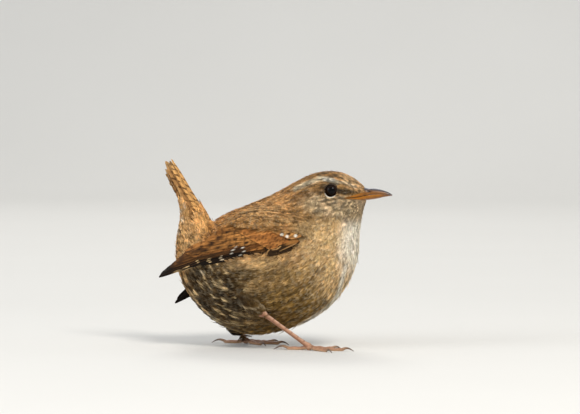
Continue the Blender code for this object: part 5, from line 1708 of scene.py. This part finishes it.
for side, sign in SIDE.items():
    top, heel, hub, hem, mid, radii, heading, cover = leg_points(side)
    build = Build()
    along = hub - heel
    way = unit(along)
    start = heel - way * 0.1 if side == "right" else hem - way * 1.6
    line = start + (hub + np.array([0, 0, 0.1]) - start) * np.linspace(0, 1, 150)[:, None]
    t = np.linspace(0, 1, 150)
    radius = TARSUS_R = 0.70 * (1.0 - 0.10 * np.sin(math.pi * t))
    radius = radius * (1 + (1.15 if side == "right" else 0.2) * np.exp(-(t / 0.085) ** 2) + 0.45 * np.exp(-((1 - t) / 0.085) ** 2))
    front = np.broadcast_to(np.array([0.75, 0.0, 0.66]), line.shape)
    limb(build, line, radius, front, 8 if side == "right" else 3, ridge=0.055, keel=0.10, sides=36, card=(0.02, 0.02, 0.48, 0.98), paint=leg_colour)
    shank = build.make("shank_" + side, [leg_mat.mat], "leg_scales")
    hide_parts("tarsus_" + side)
    build, claws = Build(), Build()
    # the sole where the toes meet
    th, ph = np.linspace(0, math.pi, 24), TAU * np.arange(36) / 36
    ball = np.stack([np.sin(th)[:, None] * np.cos(ph)[None], np.sin(th)[:, None] * np.sin(ph)[None], np.broadcast_to(np.cos(th)[:, None], (24, 36))], -1)
    p = hub + ball * np.array([1.22, 1.08, 1.02]) * (1 + 0.02 * np.sin(14 * ph)[None, :, None] * np.sin(th)[:, None, None])
    p[..., 2] = np.maximum(p[..., 2], 0.02)
    col = np.broadcast_to(PINK * 0.9, (24 * 36, 3)) * (0.85 + 0.3 * noise(p.reshape(-1, 3), 0.6))[:, None]
    build.add(p, quads=grid_faces(24, 36, closed=True), attrs={"Col": np.concatenate([col, np.ones((len(col), 1))], -1)},
              uv=np.stack([0.80 + 0.18 * np.broadcast_to(ph[None] / TAU, (24, 36)), 0.02 + 0.3 * np.broadcast_to(th[:, None] / math.pi, (24, 36))], -1))
    for k, (name, (length, claw, angle)) in enumerate(TOES.items()):
        turn = math.radians(heading * sign * -1 + angle * (-sign))
        ahead = np.array([math.cos(turn), math.sin(turn), 0.0])
        out = np.array([-math.sin(turn), math.cos(turn), 0.0])
        bow = (0.9 if name == "inner" else -0.9 if name == "outer" else 0.25) * -sign
        q = np.linspace(0, 1, 110)
        joints = {"inner": 2, "middle": 3, "outer": 4, "hind": 1}[name]
        knuckle = np.cos(TAU * q * (joints + 0.4))
        height = 0.44 + 0.66 * (1 - q) ** 2.4 + 0.05 * knuckle * (q > 0.12)
        line = hub * np.array([1, 1, 0]) + ahead * (0.2 + q * length)[:, None] + out * (bow * q * q)[:, None]
        line[:, 2] = height
        radius = (0.62 - 0.16 * q) * (1 + 0.10 * knuckle)
        radius = radius * np.sqrt(np.clip(1 - ((q - 0.93) / 0.08).clip(0, 1) ** 2, 0.15, 1))
        limb(build, line, radius, np.broadcast_to(np.array([0, 0, 1.0]), line.shape), int(length * 1.7), ridge=0.045,
             pads=0.10, sides=26, card=(0.02 + 0.19 * k, 0.02, 0.19 + 0.19 * k, 0.98), paint=toe_colour, floor=0.02)
        base = line[-1]
        end = line[-1] - line[-8]
        end[2] = 0
        end = unit(end)
        q = np.linspace(0, 1, 40)
        arch = 0.17 * claw * np.sin(math.pi * np.minimum(1, q * 1.05)) + 0.10 * (1 - q)
        cl = base + end * (-0.55 + q * (claw + 0.08))[:, None]
        cl[:, 2] = base[2] + arch - 0.36 * q
        cr = 0.40 * (1 - q) ** 0.8 + 0.035
        cl[:, 2] = np.maximum(cl[:, 2], cr * 0.9)
        rings = tube_points(cl, cr, 16, squash=1.15)
        rings[..., 2] = np.maximum(rings[..., 2], 0.01)
        cp, cq, ct = closed(rings)
        tone = np.concatenate([np.repeat(q, 16), [0, 1]])
        cc = mix(np.broadcast_to(lin((170, 132, 100)), (len(cp), 3)), HORNY, step(0.0, 0.7, tone))
        cuv = np.concatenate([np.stack([0.02 + 0.24 * k + 0.2 * np.tile(np.arange(16) / 16, 40), 0.02 + 0.96 * np.repeat(q, 16)], -1), [[0.02 + .24 * k, 0.02], [0.2 + .24 * k, 0.98]]])
        claws.add(cp, tris=ct, quads=cq, attrs={"Col": np.concatenate([cc, np.ones((len(cc), 1))], -1)}, uv=cuv)
    toes = build.make("toes_" + side, [leg_mat.mat], "leg_scales")
    claws.make("claws_" + side, [claw_mat.mat], "leg_scales")
    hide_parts("foot_" + side)


# ------------------------------------------------------------------- studio
def studio():
    scene = bpy.context.scene
    world = bpy.data.worlds.new("studio")
    scene.world = world
    world.use_nodes = True
    world.node_tree.nodes["Background"].inputs["Color"].default_value = (0.93, 0.96, 1.0, 1)
    world.node_tree.nodes["Background"].inputs["Strength"].default_value = 0.55
    scene.view_settings.view_transform = "Standard"
    scene.view_settings.look = "None"
    # floor that curves up behind
    pts, n = [], 40
    profile = [(-1.2, 0.0)] + [(0.9 + 0.35 * math.sin(t), 0.35 - 0.35 * math.cos(t)) for t in np.linspace(0, math.pi / 2, 16)] + [(1.25, 1.6)]
    verts, faces = [], []
    for x in (-2.2, 2.2):
        for y, z in profile:
            verts.append((x, y, z))
    m = len(profile)
    for k in range(m - 1):
        faces.append((k, k + m, k + m + 1, k + 1))
    mesh = bpy.data.meshes.new("floor")
    mesh.from_pydata(verts, [], faces)
    for f in mesh.polygons:
        f.use_smooth = True
    floor = bpy.data.objects.new("floor", mesh)
    scene.collection.objects.link(floor)
    mat = Nodes("floor_paint", 0.9)
    mat.colour(mat.blend((0.70, 0.69, 0.66), (0.73, 0.72, 0.69), mat.noise(9.0, 2.0)))
    mesh.materials.append(mat.mat)

    def area(name, place, target, size, power, colour):
        data = bpy.data.lights.new(name, "AREA")
        data.shape = "DISK"
        data.size = size
        data.energy = power
        data.color = colour
        obj = bpy.data.objects.new(name, data)
        obj.location = place
        obj.rotation_euler = (Vector(target) - Vector(place)).to_track_quat("-Z", "Y").to_euler()
        scene.collection.objects.link(obj)

    area("key", (0.42, -0.62, 0.80), (0, 0, 0.03), 0.36, 7.5, (1.0, 0.96, 0.90))
    area("fill", (-0.75, -0.50, 0.42), (0, 0, 0.03), 0.60, 3.0, (0.92, 0.96, 1.0))
    area("back", (-0.20, 0.80, 0.85), (0, 0, 0.03), 0.50, 4.0, (1.0, 0.98, 0.95))

    cam = bpy.data.cameras.new("camera")
    cam.sensor_width = 36.0
    distance = 1.2
    width = 580 / GRID * MM                # what the frame spans at the bird
    cam.lens = 36.0 * distance / width
    cam.clip_start, cam.clip_end = 0.05, 20
    obj = bpy.data.objects.new("camera", cam)
    right = np.array([CV, SV, 0])
    up = np.array([-SV * SR, CV * SR, CR])
    back = np.array([SV * CR, -CV * CR, SR])
    at = right * (290 - GRID_X0) / GRID * MM + up * (GRID_FLOOR - 207) / GRID * MM + back * distance
    obj.location = at
    obj.rotation_euler = Vector(-back).to_track_quat("-Z", "Y").to_euler()
    scene.collection.objects.link(obj)
    scene.camera = obj


studio()
print("pieces", len(PIECES), "triangles", sum(PIECES.values()), "coat", COAT_TRIS)
